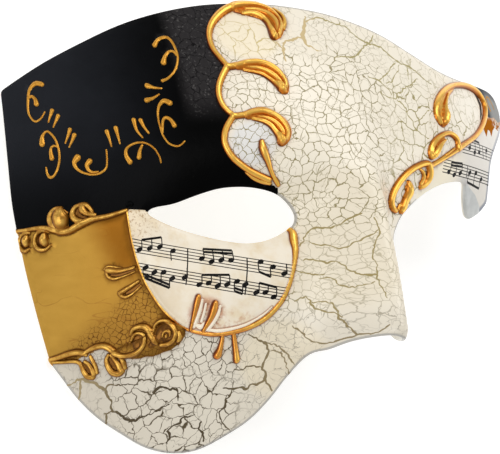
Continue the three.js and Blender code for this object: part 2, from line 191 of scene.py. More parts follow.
camera_data.clip_end = CAMERA_REACH
camera = bpy.data.objects.new("camera", camera_data)
bpy.context.collection.objects.link(camera)
axes = turn @ np.column_stack([right, up, back])
camera.matrix_world = Matrix.Translation(Vector(lay(eye_point))) @ Matrix(axes.tolist()).to_4x4()
bpy.context.scene.camera = camera

# The floor and the light.
# A plain pale floor carries the mask, under a large soft light above the forehead and two weaker ones at the
# sides.
FLOOR_SIZE = 6.0
FLOOR_COLOUR = (0.8, 0.8, 0.8, 1)
FLOOR_ROUGHNESS, FLOOR_GLOW = 0.8, 0.42
WHITE = (1, 1, 1, 1)
WORLD_GLOW = 0.5
bpy.ops.mesh.primitive_plane_add(size=FLOOR_SIZE)
floor = bpy.context.object
floor.name = "floor"
floor_paint = bpy.data.materials.new("floor")
floor_paint.use_nodes = True
floor_sockets = floor_paint.node_tree.nodes["Principled BSDF"].inputs
floor_sockets["Base Color"].default_value = FLOOR_COLOUR
floor_sockets["Roughness"].default_value = FLOOR_ROUGHNESS
floor_sockets["Emission Color"].default_value = WHITE
floor_sockets["Emission Strength"].default_value = FLOOR_GLOW
floor.data.materials.append(floor_paint)


def soft_light(name, place, size, power, colour):
    """A round light of a size in metres and a power in watts, turned to the mask."""
    data = bpy.data.lights.new(name, "AREA")
    data.shape, data.size, data.energy, data.color = "DISK", size, power, colour
    light = bpy.data.objects.new(name, data)
    bpy.context.collection.objects.link(light)
    light.location = place
    light.rotation_euler = (-Vector(place)).to_track_quat("-Z", "Y").to_euler()


soft_light("key", (0.2, 0.8, 1.3), 1.3, 9.2, (1, 0.985, 0.96))
soft_light("side", (-1.1, -0.3, 0.9), 1.0, 5.4, (1, 0.99, 0.97))
soft_light("right", (1.3, -0.2, 0.6), 0.9, 3.0, (1, 1, 1))
bpy.context.scene.view_settings.view_transform = "Standard"
world = bpy.data.worlds.new("world")
world.use_nodes = True
world.node_tree.nodes["Background"].inputs["Color"].default_value = WHITE
world.node_tree.nodes["Background"].inputs["Strength"].default_value = WORLD_GLOW
bpy.context.scene.world = world

# The scrolls.
# They are moulded with the shell and gilded: ropes that open into folded loops, drops, leaves and curls. Each
# stroke is a run of s, y and width along its middle, and stands on the skin or on a bed under it.
MAX_RISE, RISE_SHARE, STRAND_SHARE = 2.2, 0.62, 0.42
STROKE_STEP, CAP_STEPS = 0.3, 3
# Painted shade on one side of a stroke: the left, more on the drips, and the right on the far temple.
LEFT_SHADE, FAR_SHADE, DRIP_SHADE = 0.38, -0.25, 1.8
BED_RISE, HOLLOW_RISE, PLATE_RISE = 0.8, 0.25, 0.9
BED_FLATNESS, FOLD_ROOM = 1.6, 0.03
SCROLL_BEDS = {
    "top_bed": [[-31.5, 67.4, 2.4], [-28, 67.2, 4.4], [-24.6, 66.5, 5.4], [-21.8, 64.8, 5.6],
                [-20.6, 62, 5.2], [-21.1, 59.2, 3.8], [-22.2, 57.6, 2.6]],
    "middle_bed": [[-37, 46.8, 1.8], [-33.6, 47.2, 3], [-30.4, 46.9, 4.2], [-27.2, 45.6, 5],
                   [-25, 43.2, 4.6], [-24.2, 40.6, 3.8], [-24.4, 39, 3.2]],
    "low_bed": [[-37, 30.5, 2.2], [-33.6, 30.9, 3.4], [-30.4, 30.2, 4.4], [-27.9, 28.4, 5],
                [-26.4, 25.6, 4.8], [-26.6, 23.2, 3.8], [-27.2, 22.2, 3]],
}
FAR_BEDS = {
    "far_bed": [[45.4, 44.6, 2.4], [40.2, 41.9, 3.6], [36.4, 38.7, 5], [34.5, 35.7, 6.2], [34.2, 33, 5.8],
                [34.4, 31.6, 4]],
    "small_bed": [[33.5, 25.6, 2.2], [30.2, 23.4, 3.6], [28, 21.2, 3.8], [27.4, 20, 3]],
}
STRANDS = {
    "top_strand": [[-28.4, 67, 1.4], [-25, 66.8, 1.9], [-22.3, 65.5, 2], [-20.8, 63.3, 2], [-20.5, 61, 1.9],
                   [-21, 58.9, 1.6]],
    "middle_strand": [[-35, 46.5, 1], [-31.4, 46.3, 1.5], [-28.6, 45.3, 1.8], [-26.3, 43.4, 1.9],
                      [-25, 41.3, 1.8], [-24.4, 39.8, 1.5]],
    "low_strand": [[-33.6, 30, 1], [-30.8, 29.5, 1.5], [-28.5, 28.1, 1.8], [-27, 26, 1.9],
                   [-26.4, 24.3, 1.8], [-26.4, 22.8, 1.4]],
}
SCROLLS = {
    "top_loop": [[-40.2, 47.2, 2.2], [-41.6, 50, 2], [-43, 53.4, 2], [-43.1, 57, 2], [-42, 60.4, 2.1],
                 [-39.6, 63.6, 2.3], [-36.3, 66.3, 2.5], [-33, 68, 2.6], [-29.6, 68.8, 2.7],
                 [-26, 68.8, 2.6], [-22.7, 68, 2.5], [-20.3, 66.3, 2.2], [-18.9, 63.8, 1.7],
                 [-19.1, 61.3, 1.5], [-20.1, 59.2, 1.4], [-21.1, 57.8, 1.3]],
    "top_shoulder": [[-19.3, 67.4, 1.2], [-17.7, 65.3, 1.6], [-17.5, 62.8, 1.6], [-18.6, 60.2, 1.2]],
    "top_inner": [[-29.8, 65.8, 1], [-27, 65.6, 1.4], [-25, 64.8, 1.6], [-23.5, 63, 1.7], [-23, 60.8, 1.8],
                  [-22.9, 58.8, 2.2], [-22.8, 57.3, 2.5]],
    "middle_rope": [[-40.2, 47.2, 2.2], [-42.5, 44, 2.1], [-44.1, 41, 2.1], [-44.8, 38, 2.1],
                    [-44.4, 34.9, 2.1], [-43.1, 32.6, 2], [-41.4, 30.8, 2]],
    "middle_loop": [[-40, 47, 2.2], [-36.8, 47.4, 2.3], [-33.6, 48, 2.6], [-30.4, 48, 2.8],
                    [-27.6, 47.1, 2.7], [-25.4, 45.3, 2.4], [-24, 43, 2], [-23.4, 41, 1.7],
                    [-23.7, 39.7, 1.3]],
    "middle_inner": [[-35.4, 45.8, 0.9], [-32.6, 45.2, 1.2], [-30, 44.3, 1.4], [-27.9, 42.6, 1.5],
                     [-26.5, 41, 1.8], [-25.4, 39.6, 2.5], [-24.9, 38.9, 2.5]],
    "low_rope": [[-41.4, 30.8, 2], [-43.3, 28.3, 2.1], [-44.6, 25.7, 2.2], [-44.9, 23, 2.2],
                 [-44, 20.4, 2.2], [-42.1, 17.9, 2.1], [-39.6, 15.9, 2], [-36.6, 14, 1.9],
                 [-33.6, 12.5, 1.9], [-30, 10.9, 1.9]],
    "low_lip": [[-37.4, 13.4, 0.7], [-34.8, 11.7, 1.2], [-32.2, 10.6, 1.4], [-29.6, 9.9, 1.3]],
    "low_loop": [[-41, 30.7, 2.1], [-38, 31, 2.1], [-35.2, 31.8, 2.4], [-32.2, 32, 2.7], [-29.5, 31, 2.6],
                 [-27.2, 29.2, 2.3], [-25.7, 26.9, 1.9], [-25.3, 24.8, 1.7], [-25.8, 23.1, 1.4]],
    "low_inner": [[-35.6, 29.6, 1], [-32.6, 28.8, 1.4], [-30.4, 27.4, 1.7], [-29, 25.4, 1.8],
                  [-28, 23.9, 2.4], [-27.4, 22.7, 2.9]],
    "spear": [[-33.4, 22.3, 1.8], [-33.1, 20.6, 2.6], [-32.3, 18.6, 2.5], [-31.2, 16.4, 1.9],
              [-30.1, 14, 1.4], [-28.9, 11.9, 1.3], [-27.6, 10.1, 1.4], [-27, 9.2, 1.2]],
}
FAR_SCROLLS = {
    "far_ridge": [[32.9, 30.9, 1.4], [31.6, 33, 1.7], [31.8, 35.5, 1.8], [33.8, 38.5, 1.9],
                  [37.7, 41.8, 1.9], [43.5, 44.6, 2], [50.8, 46.3, 2.1], [58.3, 46.9, 2.2],
                  [65.2, 46.2, 2.3], [69.2, 44.3, 2.3], [70.4, 41.3, 2.3], [68.1, 37.8, 2.2],
                  [63.5, 34.1, 2.1], [59.3, 31.4, 2], [54.5, 28.8, 1.9], [49.3, 26.6, 1.9],
                  [44.9, 24.8, 2.1], [41.6, 23.3, 2.3]],
    "far_bulb": [[40.3, 41.3, 1], [38, 38.4, 1.6], [36.5, 35.8, 2.4], [36.2, 33.4, 3.6], [35.3, 31.6, 3]],
    "small_curl": [[41.3, 23.4, 2], [41.6, 25.2, 2.1], [40.6, 26.9, 2.1], [37.5, 27.9, 1.9],
                   [33.5, 27.1, 1.8], [29.6, 25.2, 1.8], [27.2, 23, 1.8], [26.3, 20.9, 1.8],
                   [26.7, 19.4, 1.7]],
    "small_bulb": [[34.6, 25.4, 0.9], [31.7, 24, 1.5], [29.8, 22.2, 2.3], [28.3, 20.6, 2.6],
                   [27.2, 19.5, 2]],
    "high_stem": [[39.6, 23.2, 0.9], [35.1, 20.9, 0.9], [31.4, 18.9, 0.9], [27.2, 17.1, 1]],
    "low_stem": [[42, 23.2, 1.6], [37.9, 21.3, 1.3], [33.5, 19.3, 1.2], [29.9, 17.6, 1.2],
                 [26.9, 16.5, 1.5]],
    "low_curl": [[26.9, 16.9, 1.9], [24.8, 17.2, 2.1], [21.9, 16.5, 2.1], [18.2, 14.9, 2.1],
                 [14.7, 12.5, 2.2], [11.9, 9.7, 2.3], [9.9, 6.8, 2.4], [8.9, 4.1, 2.4], [9.5, 2.3, 2.3],
                 [11.1, 1.4, 1.8]],
    "low_hook": [[25.9, 16.7, 2.4], [26.6, 15.1, 2.8], [26.6, 13.4, 2.8], [25.9, 11.9, 2.5],
                 [24.4, 10.6, 2.2], [23, 9.8, 1.6]],
    "hook_inner": [[21.8, 15.3, 0.9], [23.6, 14.2, 1.4], [24, 12.5, 1.5], [22.9, 10.8, 1.2]],
    "low_drop": [[16.9, 10.5, 2], [17.1, 9.2, 3.2], [17.1, 7.8, 3.4], [16.4, 6.2, 3], [15.5, 4.5, 2.7],
                 [14.6, 2.8, 2.9], [13.9, 1.6, 2.2]],
    "drop_bead": [[13.3, 3.5, 1], [12.4, 2.1, 1.3]],
}
PLATE_BEADS = {
    "plate_bead": [[-23.6, -4.6, 1.6], [-22.9, -6, 2.5], [-23, -8.4, 2.6], [-23, -11.2, 2.1],
                   [-23.6, -14.5, 1.7], [-24.4, -17.7, 1.6], [-26, -22.9, 1.7], [-28.3, -27.5, 1.9],
                   [-32.2, -31.6, 2.1], [-37.2, -34.3, 2.1], [-42.9, -35.7, 2], [-48.2, -36, 1.8],
                   [-52.9, -35.2, 1.5], [-56.1, -34.3, 1.2]],
    "plate_rim": [[-76, 3.2, 1.1], [-75.2, -1.5, 1.1], [-74.2, -7.3, 1.1], [-72.7, -13.2, 1.1],
                  [-70.3, -19.2, 1], [-66.3, -25.4, 1], [-62.1, -30, 1], [-56, -34.3, 1]],
}
CHEEK_DRIPS = {
    "outer_drip": [[-45, -36.2, 1.3], [-45.1, -38.4, 1.5], [-45.4, -40.6, 2], [-46, -42.4, 2.9]],
    "inner_drip": [[-41.8, -35.8, 1.4], [-41.2, -38.4, 1.6], [-40.5, -41.4, 1.9], [-39.9, -44.2, 2.2]],
}
PLATE_DRIPS = {
    "outer_plate_drip": [[-53.3, -24.7, 1.9], [-53.7, -26.6, 2], [-54.2, -29.6, 1.6], [-54.9, -34.3, 1.2]],
    "inner_plate_drip": [[-48, -26.8, 2], [-48.3, -28.4, 2.5], [-49.1, -31, 2.1], [-51, -34.8, 1.3]],
}
PLATE_STREAKS = {
    "outer_streak": [[-52, -25.6, 0.9], [-52.4, -28, 1.2], [-53.2, -31, 1.3], [-54, -33.4, 1.4]],
    "middle_streak": [[-50.8, -26.8, 0.7], [-51.2, -29.4, 0.9], [-51.8, -32, 1.1]],
    "pocket": [[-53, -33.2, 1.2], [-51.8, -33.6, 1.9], [-50.9, -32.6, 1.2]],
    "inner_streak": [[-46.4, -27.6, 0.8], [-46.9, -30, 1.3], [-48.2, -32.6, 1.4], [-49.6, -34.4, 1.3]],
    "low_lip": [[-50, -34.6, 1], [-46.4, -35, 1.2], [-42.6, -34.6, 1.1], [-38, -33.4, 1],
                [-33.4, -30.9, 0.8], [-30.6, -28.4, 0.5]],
}
BLACK_BEADS = {
    "corner_bead": [[-76, 4.9, 1.2], [-75.2, 5.3, 1.7], [-74.4, 5, 1.3]],
}
PANEL_BEDS = {
    "shell_bed": [[-99.9, 4.2, 3.4], [-99.6, 2, 6], [-99.4, -0.4, 5.6]],
    "comma_bed": [[-93.6, 4.6, 2.4], [-92.6, 3.2, 3.6], [-90.6, 2.4, 3.2], [-88.4, 1.9, 2]],
    "left_ring_bed": [[-112.4, -3.2, 3.6], [-112.4, -4.4, 3.6]],
    "right_ring_bed": [[-106, -3, 4.2], [-106, -4.6, 4.2]],
    "upper_drop_bed": [[-81.8, -16.4, 1.4], [-79.4, -16.5, 1.9], [-76.8, -15.9, 1.6], [-74.2, -15.3, 1.1]],
    "lower_drop_bed": [[-76.4, -22.3, 1.6], [-74.4, -21.4, 2], [-72.4, -19.9, 1.4]],
    "low_leaf_bed": [[-89, -43, 1.4], [-87.4, -44.6, 2.8], [-86, -46, 2.6]],
    "next_leaf_bed": [[-80.4, -41.8, 1.8], [-79.3, -43.4, 3.2], [-77.8, -45.2, 3.2]],
    "curl_bed": [[-72, -36.6, 3], [-71.4, -38.4, 2.6]],
    "end_bed": [[-66.9, -38.4, 1.8], [-65, -36.6, 3], [-63.4, -34.6, 4.2], [-62, -36, 4.2],
                [-60.4, -36.6, 3]],
}
PANEL_DOMES = {
    "shell_face": [[-99.7, 4.7, 3.2], [-99.5, 3, 5.8], [-99.2, 1.3, 5.6]],
}
PANEL_SCROLLS = {
    "top_band": [[-115.6, -0.3, 1.3], [-112, -0.3, 1.5], [-108, -0.1, 1.7], [-104.6, -0.3, 1.9],
                 [-101.8, -1.2, 2.2], [-99, -1.9, 2.5], [-96.2, -1.7, 2.5], [-93.6, -0.6, 2.6],
                 [-91, 0.4, 2.6], [-87.6, 1.3, 2.1], [-82.4, 1.9, 1.8], [-76.2, 3.3, 1.4]],
    "shell_rim": [[-99.2, 5.6, 1.4], [-101.2, 5.3, 1.9], [-102.8, 3.8, 2.2], [-103, 1.9, 2.5],
                  [-101.8, 0.3, 2.5], [-99.4, -0.5, 2], [-97.4, -0.2, 1.4]],
    "comma_rim": [[-92.2, 6.1, 1.3], [-94, 5.4, 1.8], [-95, 3.9, 2.1], [-94.8, 2.3, 2.4], [-93.2, 1.1, 2.4],
                  [-90.8, 0.7, 2], [-88, 0.9, 1.5], [-84.4, 1.4, 1.2]],
    "comma_tongue": [[-91.7, 5.9, 1.9], [-91.6, 4.6, 2.6], [-90.6, 3.5, 2.2], [-89.2, 2.9, 1.8],
                     [-87.2, 2.6, 1.2]],
    "comma_top": [[-92.4, 6.2, 1.2], [-90.7, 6, 1.7], [-89.3, 5, 1.5], [-88.2, 3.6, 1.3]],
    "left_ring": [[-110.8, -1.3, 1.1], [-112.6, -1.2, 1.3], [-114.1, -2.2, 1.4], [-114.6, -4, 1.4],
                  [-114, -5.8, 1.5], [-112.5, -6.8, 1.5], [-110.9, -6.2, 1.1]],
    "left_ring_bead": [[-112, -2.4, 1.9], [-112.2, -3.6, 2.8], [-111.9, -4.8, 2]],
    "right_ring": [[-103.6, -1.6, 1.1], [-105.8, -0.9, 1.3], [-108.1, -1.6, 1.5], [-109, -3.6, 1.5],
                   [-108.4, -5.7, 1.7], [-106.8, -6.8, 1.7], [-104.8, -6.8, 1.3], [-103.2, -5.6, 1.1]],
    "right_ring_bead": [[-105.4, -2.4, 2.1], [-105.5, -3.8, 3.3], [-105, -5, 2.4]],
    "upper_drop": [[-83.2, -14.9, 1.9], [-81.6, -15.1, 2.2], [-79.6, -15.3, 1.9], [-77, -15.1, 1.4],
                   [-74.2, -14.5, 1.2]],
    "upper_drop_rim": [[-83.5, -15.8, 1.2], [-82.7, -17, 1.3], [-80.8, -17.7, 1.2], [-78.4, -17.3, 0.9],
                       [-76, -16.6, 0.8], [-74, -15.9, 0.8]],
    "upper_drop_crest": [[-84.2, -14.6, 0.8], [-83, -13.7, 0.9], [-80.6, -14, 0.8], [-78.4, -14.5, 0.7]],
    "lower_drop": [[-78.6, -22.2, 1.8], [-77, -21.3, 1.8], [-75, -20.2, 1.4], [-72.7, -18.9, 1.2]],
    "lower_drop_rim": [[-78.4, -22.9, 1.2], [-76.8, -23.5, 1.3], [-75, -22.9, 1.1], [-73.4, -21.8, 0.9],
                       [-71.8, -20.4, 0.9]],
    "wave_start": [[-101, -41, 1.5], [-98, -40.5, 1.9], [-95, -39.8, 2.2], [-92, -39.4, 2.2],
                   [-89.8, -39.7, 1.9], [-88.2, -40.4, 1.2]],
    "wave_under": [[-100.6, -41.9, 1.1], [-96, -42, 1.2], [-92.4, -42, 1.4], [-90.4, -42.6, 1.4],
                   [-89.4, -43.9, 1.5], [-88.3, -45.6, 1.8], [-86.9, -46.9, 1.9], [-85.2, -47.2, 1.9]],
    "wave": [[-89.4, -39.8, 1.5], [-87, -38.6, 2], [-85, -38, 2.1], [-83, -37.9, 2.1], [-81.4, -38.4, 2.1],
             [-79.8, -39.4, 2.1], [-78.3, -40.4, 2], [-76.6, -41.1, 1.9], [-74.8, -41.3, 1.8],
             [-72.8, -41, 1.9], [-71, -40.2, 1.9], [-69.7, -38.8, 1.8], [-69.2, -37, 1.7],
             [-69.9, -35.4, 1.4], [-71.6, -34.7, 1.3], [-73.1, -35.2, 1.3], [-73.8, -36.8, 1.1]],
    "low_leaf_inner": [[-88.6, -42.3, 1.1], [-87.1, -43.3, 1.3], [-85.9, -44.7, 1.4], [-84.9, -46.3, 1.8]],
    "low_leaf_side": [[-86.9, -40.8, 1.1], [-85.8, -42.5, 1.3], [-84.6, -44.3, 1.3], [-83.9, -46, 1.1]],
    "next_leaf": [[-80.8, -40.8, 1.4], [-81.2, -42.4, 1.7], [-80.2, -44.6, 2], [-78.6, -46.2, 2.1],
                  [-76.6, -46.6, 2.1], [-75.5, -46, 1.7]],
    "next_leaf_inner": [[-79.9, -40.8, 1.3], [-78.4, -42.3, 1.5], [-77, -44, 1.8], [-76, -45.8, 2]],
    "next_leaf_side": [[-76.8, -41.6, 1.2], [-75.6, -43.3, 1.7], [-74.8, -45, 1.4]],
    "hook": [[-74.2, -35, 1.2], [-73.4, -33.4, 1.8], [-71.4, -32.7, 2], [-69.6, -33, 2.2],
             [-68.2, -34.2, 2.4], [-67, -35.8, 2.1], [-66, -37.2, 1.8], [-65.2, -38, 1.3]],
    "end_curl": [[-66.9, -34.4, 1.2], [-66.5, -32.6, 1.4], [-65, -31.4, 1.4], [-62.8, -31.5, 1.5],
                 [-60.8, -32.9, 1.7], [-59.6, -34.9, 1.7], [-59.9, -37, 1.7], [-61.6, -38.3, 1.7],
                 [-63.8, -38.5, 1.4]],
    "end_ring": [[-63.5, -36, 0.9], [-63.3, -34.8, 1.1], [-62.3, -34.3, 1.1], [-61.3, -34.8, 1.1],
                 [-61.2, -35.9, 0.9]],
    "end_bud": [[-62.4, -35.7, 1.2], [-62.3, -36.1, 1.2]],
    "end_knob": [[-58.6, -34.9, 1.3], [-58.1, -36.2, 1.8], [-58.4, -37.6, 1.7]],
}


class Stroke:
    """One raised stroke: its middle line with half widths, the height it stands on, its section and rise."""

    def __init__(self, points, base, section, rise, shade=LEFT_SHADE):
        line = smooth_run(points, STROKE_STEP)
        self.line = np.column_stack([line[:, :2], line[:, 2] / 2])
        ahead = np.gradient(self.line[:, :2], axis=0)
        self.ahead = ahead / np.linalg.norm(ahead, axis=1, keepdims=True)
        self.base, self.section, self.rise, self.shade = base, section, rise, shade

    def across(self, places):
        """For each place, its share of the way from the middle to the foot, the half width there, and how far
        it lies to the right of the middle."""
        gap = places[:, None, :] - self.line[None, :, :2]
        share = np.hypot(gap[..., 0], gap[..., 1]) / self.line[:, 2]
        at = share.argmin(1)
        row = np.arange(len(at))
        return share[row, at], self.line[at, 2], gap[row, at, 0] / self.line[at, 2]

    def near(self, places, reach):
        """The indices of the places in a box round the stroke, as wide as a reach of its half width."""
        low = (self.line[:, :2] - self.line[:, 2:] * reach).min(0)
        high = (self.line[:, :2] + self.line[:, 2:] * reach).max(0)
        return np.flatnonzero(((places >= low) & (places <= high)).all(1))

    def band(self, share):
        """The closed line round the stroke at a share of the half width, without the turns that fold over."""
        line, ahead = self.line, self.ahead
        left = np.column_stack([-ahead[:, 1], ahead[:, 0]]) * line[:, 2:] * share
        caps = []
        for end, sign in ((-1, 1), (0, -1)):
            start = math.atan2(*(left[end] * sign)[::-1])
            radius = line[end, 2] * share
            steps = max(CAP_STEPS, round(radius / STROKE_STEP * 3))
            angles = start - np.linspace(0, math.pi, steps + 1)[1:-1]
            caps.append(line[end, :2] + radius * np.column_stack([np.cos(angles), np.sin(angles)]))
        loop = np.vstack([line[:, :2] + left, caps[0], (line[:, :2] - left)[::-1], caps[1]])
        return loop[self.across(loop)[0] > share - FOLD_ROOM]


def bead_section(share):
    return np.sqrt(np.clip(1 - share ** 2, 0, 1))


def bed_section(share):
    return smooth(BED_FLATNESS * (1 - share))


def scroll_rise(width):
    return np.minimum(MAX_RISE, RISE_SHARE * width)


def strand_rise(width):
    return STRAND_SHARE * width


def bed_rise(width):
    return np.full_like(width, BED_RISE)


def hollow_rise(width):
    return np.full_like(width, HOLLOW_RISE)


def set_of(runs, section, rise, base=None, shade=LEFT_SHADE):
    """The strokes of a table, with one section, rise and base. Without a base they stand on what is below."""
    return [Stroke(points, base, section, rise, shade) for points in runs.values()]


scroll_beds = set_of(SCROLL_BEDS, bed_section, bed_rise, 0)
panel_beds = set_of(PANEL_BEDS, bed_section, hollow_rise)
far_beds = set_of(FAR_BEDS, bed_section, bed_rise, 0)
strands = set_of(STRANDS, bead_section, strand_rise)
scrolls = set_of(SCROLLS, bead_section, scroll_rise)
scrolls += set_of(FAR_SCROLLS, bead_section, scroll_rise, None, FAR_SHADE)
scrolls += set_of(PLATE_BEADS, bead_section, scroll_rise, 0)
scrolls += set_of(CHEEK_DRIPS, bead_section, scroll_rise, 0, DRIP_SHADE / 2)
scrolls += set_of(PLATE_DRIPS, bead_section, scroll_rise, PLATE_RISE, DRIP_SHADE)
panel_scrolls = set_of(PANEL_SCROLLS, bead_section, scroll_rise)
panel_scrolls += set_of(PANEL_DOMES, bead_section, strand_rise)
streaks = set_of(PLATE_STREAKS, bead_section, strand_rise, PLATE_RISE)
black_beads = set_of(BLACK_BEADS, bead_section, scroll_rise, 0)

# The gold flourishes on the black.
# They are drawn with a liner of thick gold paint, each with a round head that runs out in a fine tail. One
# small one is on the far temple.
LINER_RISE, LINER_SHARE = 0.16, 0.3
FLOURISHES = [
    [[-101.6, 46.3, 1.8], [-103.6, 46.8, 1.6], [-105.8, 45.5, 1.1], [-107.2, 43.2, 0.9],
     [-108.3, 37.9, 0.8], [-107.6, 35.3, 0.7], [-106.2, 34.1, 0.7], [-104.2, 34.9, 0.6],
     [-102.4, 36.9, 0.5]],
    [[-104.9, 39.9, 1.8], [-105, 41.4, 1.3], [-106, 42.6, 1.1], [-107.2, 42.2, 0.7]],
    [[-99.7, 37.1, 1.4], [-100.7, 35.4, 0.9], [-101.7, 33.4, 0.5]],
    [[-97.9, 35.1, 1.4], [-99, 33.5, 0.9], [-100.2, 31.6, 0.5]],
    [[-104.9, 26.5, 2], [-104.7, 28.3, 1.4], [-103.9, 29.8, 0.9], [-102.5, 30.4, 0.7], [-101.1, 29.2, 0.8],
     [-99.9, 27, 0.8], [-99.2, 23.9, 0.8], [-99.3, 20.7, 0.8], [-100.2, 17.9, 0.8], [-101.6, 15.9, 0.8],
     [-103, 15.6, 1], [-103.9, 16.8, 0.8], [-104.2, 18.8, 0.5]],
    [[-101.9, 21.6, 1.7], [-102.1, 23.6, 1.2], [-101.8, 25, 0.8], [-100.6, 25.5, 0.7], [-99.3, 24.9, 0.7]],
    [[-94.5, 30.2, 1.4], [-95.5, 28.2, 0.9], [-96.7, 26, 0.5]],
    [[-93.2, 28.3, 1.5], [-94.3, 26.4, 0.9], [-95.5, 24.6, 0.5]],
    [[-92.9, 20.9, 2.3], [-94.1, 19.6, 1.6], [-93.7, 17.9, 1.1], [-92, 16.4, 0.8], [-89.8, 15.5, 0.7],
     [-87.5, 15.1, 0.6], [-85.1, 15.5, 0.7], [-83.3, 16.9, 0.7], [-82.9, 19.3, 0.6], [-82.9, 22.6, 0.5]],
    [[-88.8, 19.4, 1.9], [-89.8, 18.3, 1.5], [-89.4, 16.8, 1.1], [-88, 15.9, 0.8], [-86.1, 15.9, 0.6]],
    [[-82.1, 28.4, 1.5], [-81.6, 26.2, 0.9], [-81.1, 23.6, 0.5]],
    [[-79, 29.3, 1.5], [-78.6, 26.6, 0.9], [-78.2, 24.2, 0.5]],
    [[-75.2, 18.1, 1.7], [-76.3, 19.9, 1.4], [-76.4, 21.8, 1.1], [-75.3, 23.1, 0.8], [-73.2, 23.9, 0.7],
     [-71.1, 24, 0.6], [-69, 23.3, 0.6], [-67, 21.6, 0.5], [-65.6, 19.3, 0.5], [-65, 17.3, 0.5]],
    [[-72.2, 19.4, 1.6], [-71.8, 21.5, 1.1], [-71, 23.1, 0.7]],
    [[-72.8, 31.4, 1.5], [-72.3, 28.1, 0.9], [-70.6, 25.5, 0.5]],
    [[-70.6, 31.1, 1.5], [-69.8, 28.9, 0.9], [-68.5, 26.8, 0.7]],
    [[-60.5, 36.1, 1.9], [-62.1, 36.9, 1.5], [-63.7, 35.8, 1], [-64.6, 33.8, 0.8], [-64.9, 31.1, 0.6],
     [-64.6, 28.3, 0.6], [-64, 25.7, 0.6], [-62.4, 23.2, 0.6], [-60, 22.1, 0.6], [-58.4, 22.5, 0.5],
     [-57.3, 23.5, 0.5]],
    [[-60.1, 28.7, 1.6], [-60.9, 30.4, 1.2], [-62.3, 31.4, 1.1], [-63.4, 30.7, 0.9], [-63.9, 28.4, 0.8],
     [-64, 26.8, 0.6]],
    [[-66.5, 42.3, 1.8], [-64.4, 41.5, 0.9], [-62.1, 41.1, 0.5]],
    [[-67.6, 37.5, 1.7], [-65.4, 38.1, 0.9], [-63.3, 39.2, 0.5]],
    [[-60.8, 55.9, 1.5], [-59.3, 57.7, 1.1], [-57.4, 58.5, 1], [-55.8, 58.2, 1], [-54.9, 56.3, 0.9],
     [-54.6, 54, 0.8], [-54.6, 51.5, 0.7], [-55.7, 48.4, 0.7], [-57.3, 46.1, 0.7], [-59.5, 44.3, 0.8],
     [-61.4, 43.6, 1]],
    [[-59.6, 49.7, 1.8], [-58.5, 51.9, 1.1], [-56.9, 53.4, 0.8], [-55.5, 53.3, 0.9], [-54.7, 51.9, 0.9]],
    [[79.5, 41.4, 0.6], [77.6, 43.6, 0.4], [78.6, 46, 0.4], [82, 46.8, 0.4], [85.6, 45.6, 0.3],
     [87.8, 43.2, 0.3]],
]


def liner_rise(width):
    return LINER_RISE + LINER_SHARE * width


lined = [Stroke(points, 0, bead_section, liner_rise) for points in FLOURISHES]
every_stroke = scroll_beds + far_beds + strands + panel_beds + streaks
every_stroke += black_beads + panel_scrolls + scrolls + lined

# The plate under the eye.
# It is moulded in one with the cheek and stands a little over it, with a lip along its sides and a lower lid
# that rolls into the eye opening.
PLATE_TOP = [[-22.9, -6], [-25, -2.5], [-45, 0.5], [-64, 1.8], [-69.3, 3], [-75.9, 3.6]]
PLATE_SIDE = [[-75.9, 3.6], [-75.3, -1.5], [-74.2, -7.5], [-72.6, -13.3], [-70.2, -19.3], [-66.3, -25.4],
              [-62, -30], [-58.6, -32.8], [-56, -34.2]]
PLATE_BOTTOM = [[-56, -34.2], [-52.5, -35.3], [-48, -35.9], [-42.8, -35.6], [-37.3, -34.2], [-32.2, -31.6],
                [-28.3, -27.6], [-26, -23], [-24.3, -17.7], [-23.5, -12], [-22.9, -6]]
PLATE_STEP = 0.5
LIP_INSET, LIP_WIDTH, LIP_RISE = 1.0, 0.55, 0.4
LID_REACH, LID_DROP = 2.6, 0.7
LIP_TOP, LIP_SIDE, LIP_FADE = -2.0, -54.0, 4.0
plate = closed_line([PLATE_TOP, PLATE_SIDE, PLATE_BOTTOM], EDGE_STEP)

# The gilded panel at the side.
# It is sunk between the black brow, the plate and the scrolls below it, deepest towards its upper corner. The
# curls at its lower end are moulded on a low mass of their own.
PANEL_TOP = [[-116.2, -0.2], [-111, 0.3], [-105.5, 0.7], [-103.5, -0.7], [-100, -1.9], [-96, -1.5],
             [-92.5, 0.5], [-87.6, 1.3], [-82.4, 1.8], [-76, 3.5]]
PANEL_SIDE = [[-76, 3.5], [-75.2, -1.5], [-74.2, -7.3], [-72.7, -13.2], [-70.3, -19.2], [-66.3, -25.4],
              [-62.1, -30], [-59.6, -32]]
PANEL_BOTTOM = [[-59.6, -32], [-58.6, -34.6], [-59.2, -37.4], [-61.4, -39.1], [-64, -39.8], [-67, -40.4],
                [-69, -41.2], [-71, -42], [-73.4, -42.4], [-77.5, -41.7], [-80.4, -40.2], [-83.4, -38.9],
                [-87.4, -40.1], [-92.5, -42], [-97, -42.2], [-101.5, -42.2]]
PANEL_DEPTH, PANEL_SLOPE = 0.45, 2.2
PANEL_CORNER, CORNER_REACH, CORNER_DEPTH = np.array([-79.0, -3.0]), 11.0, 0.45
SIDE_TOP, SIDE_ROOM = -0.4, 1.5
side_line = smooth_run(SIDE_EDGE, EDGE_STEP)
side_line = side_line[side_line[:, 1] < SIDE_TOP][1:] + [-SIDE_ROOM, 0]
panel = np.vstack([closed_line([PANEL_TOP, PANEL_SIDE, PANEL_BOTTOM], EDGE_STEP), side_line])
MASS_RUN = [[-78.5, -40.6, 2.4], [-75.8, -40.3, 3.9], [-73.6, -40, 4.3], [-71.2, -39.6, 5.8],
            [-68.8, -39, 6], [-66.4, -38.1, 7.7], [-64.4, -37.3, 7.8], [-62.4, -36.3, 8.9],
            [-60.8, -35.8, 7.8], [-59.4, -35.4, 5.6]]
MASS_RISE = 0.9


def mass_rise(width):
    return np.full_like(width, MASS_RISE)


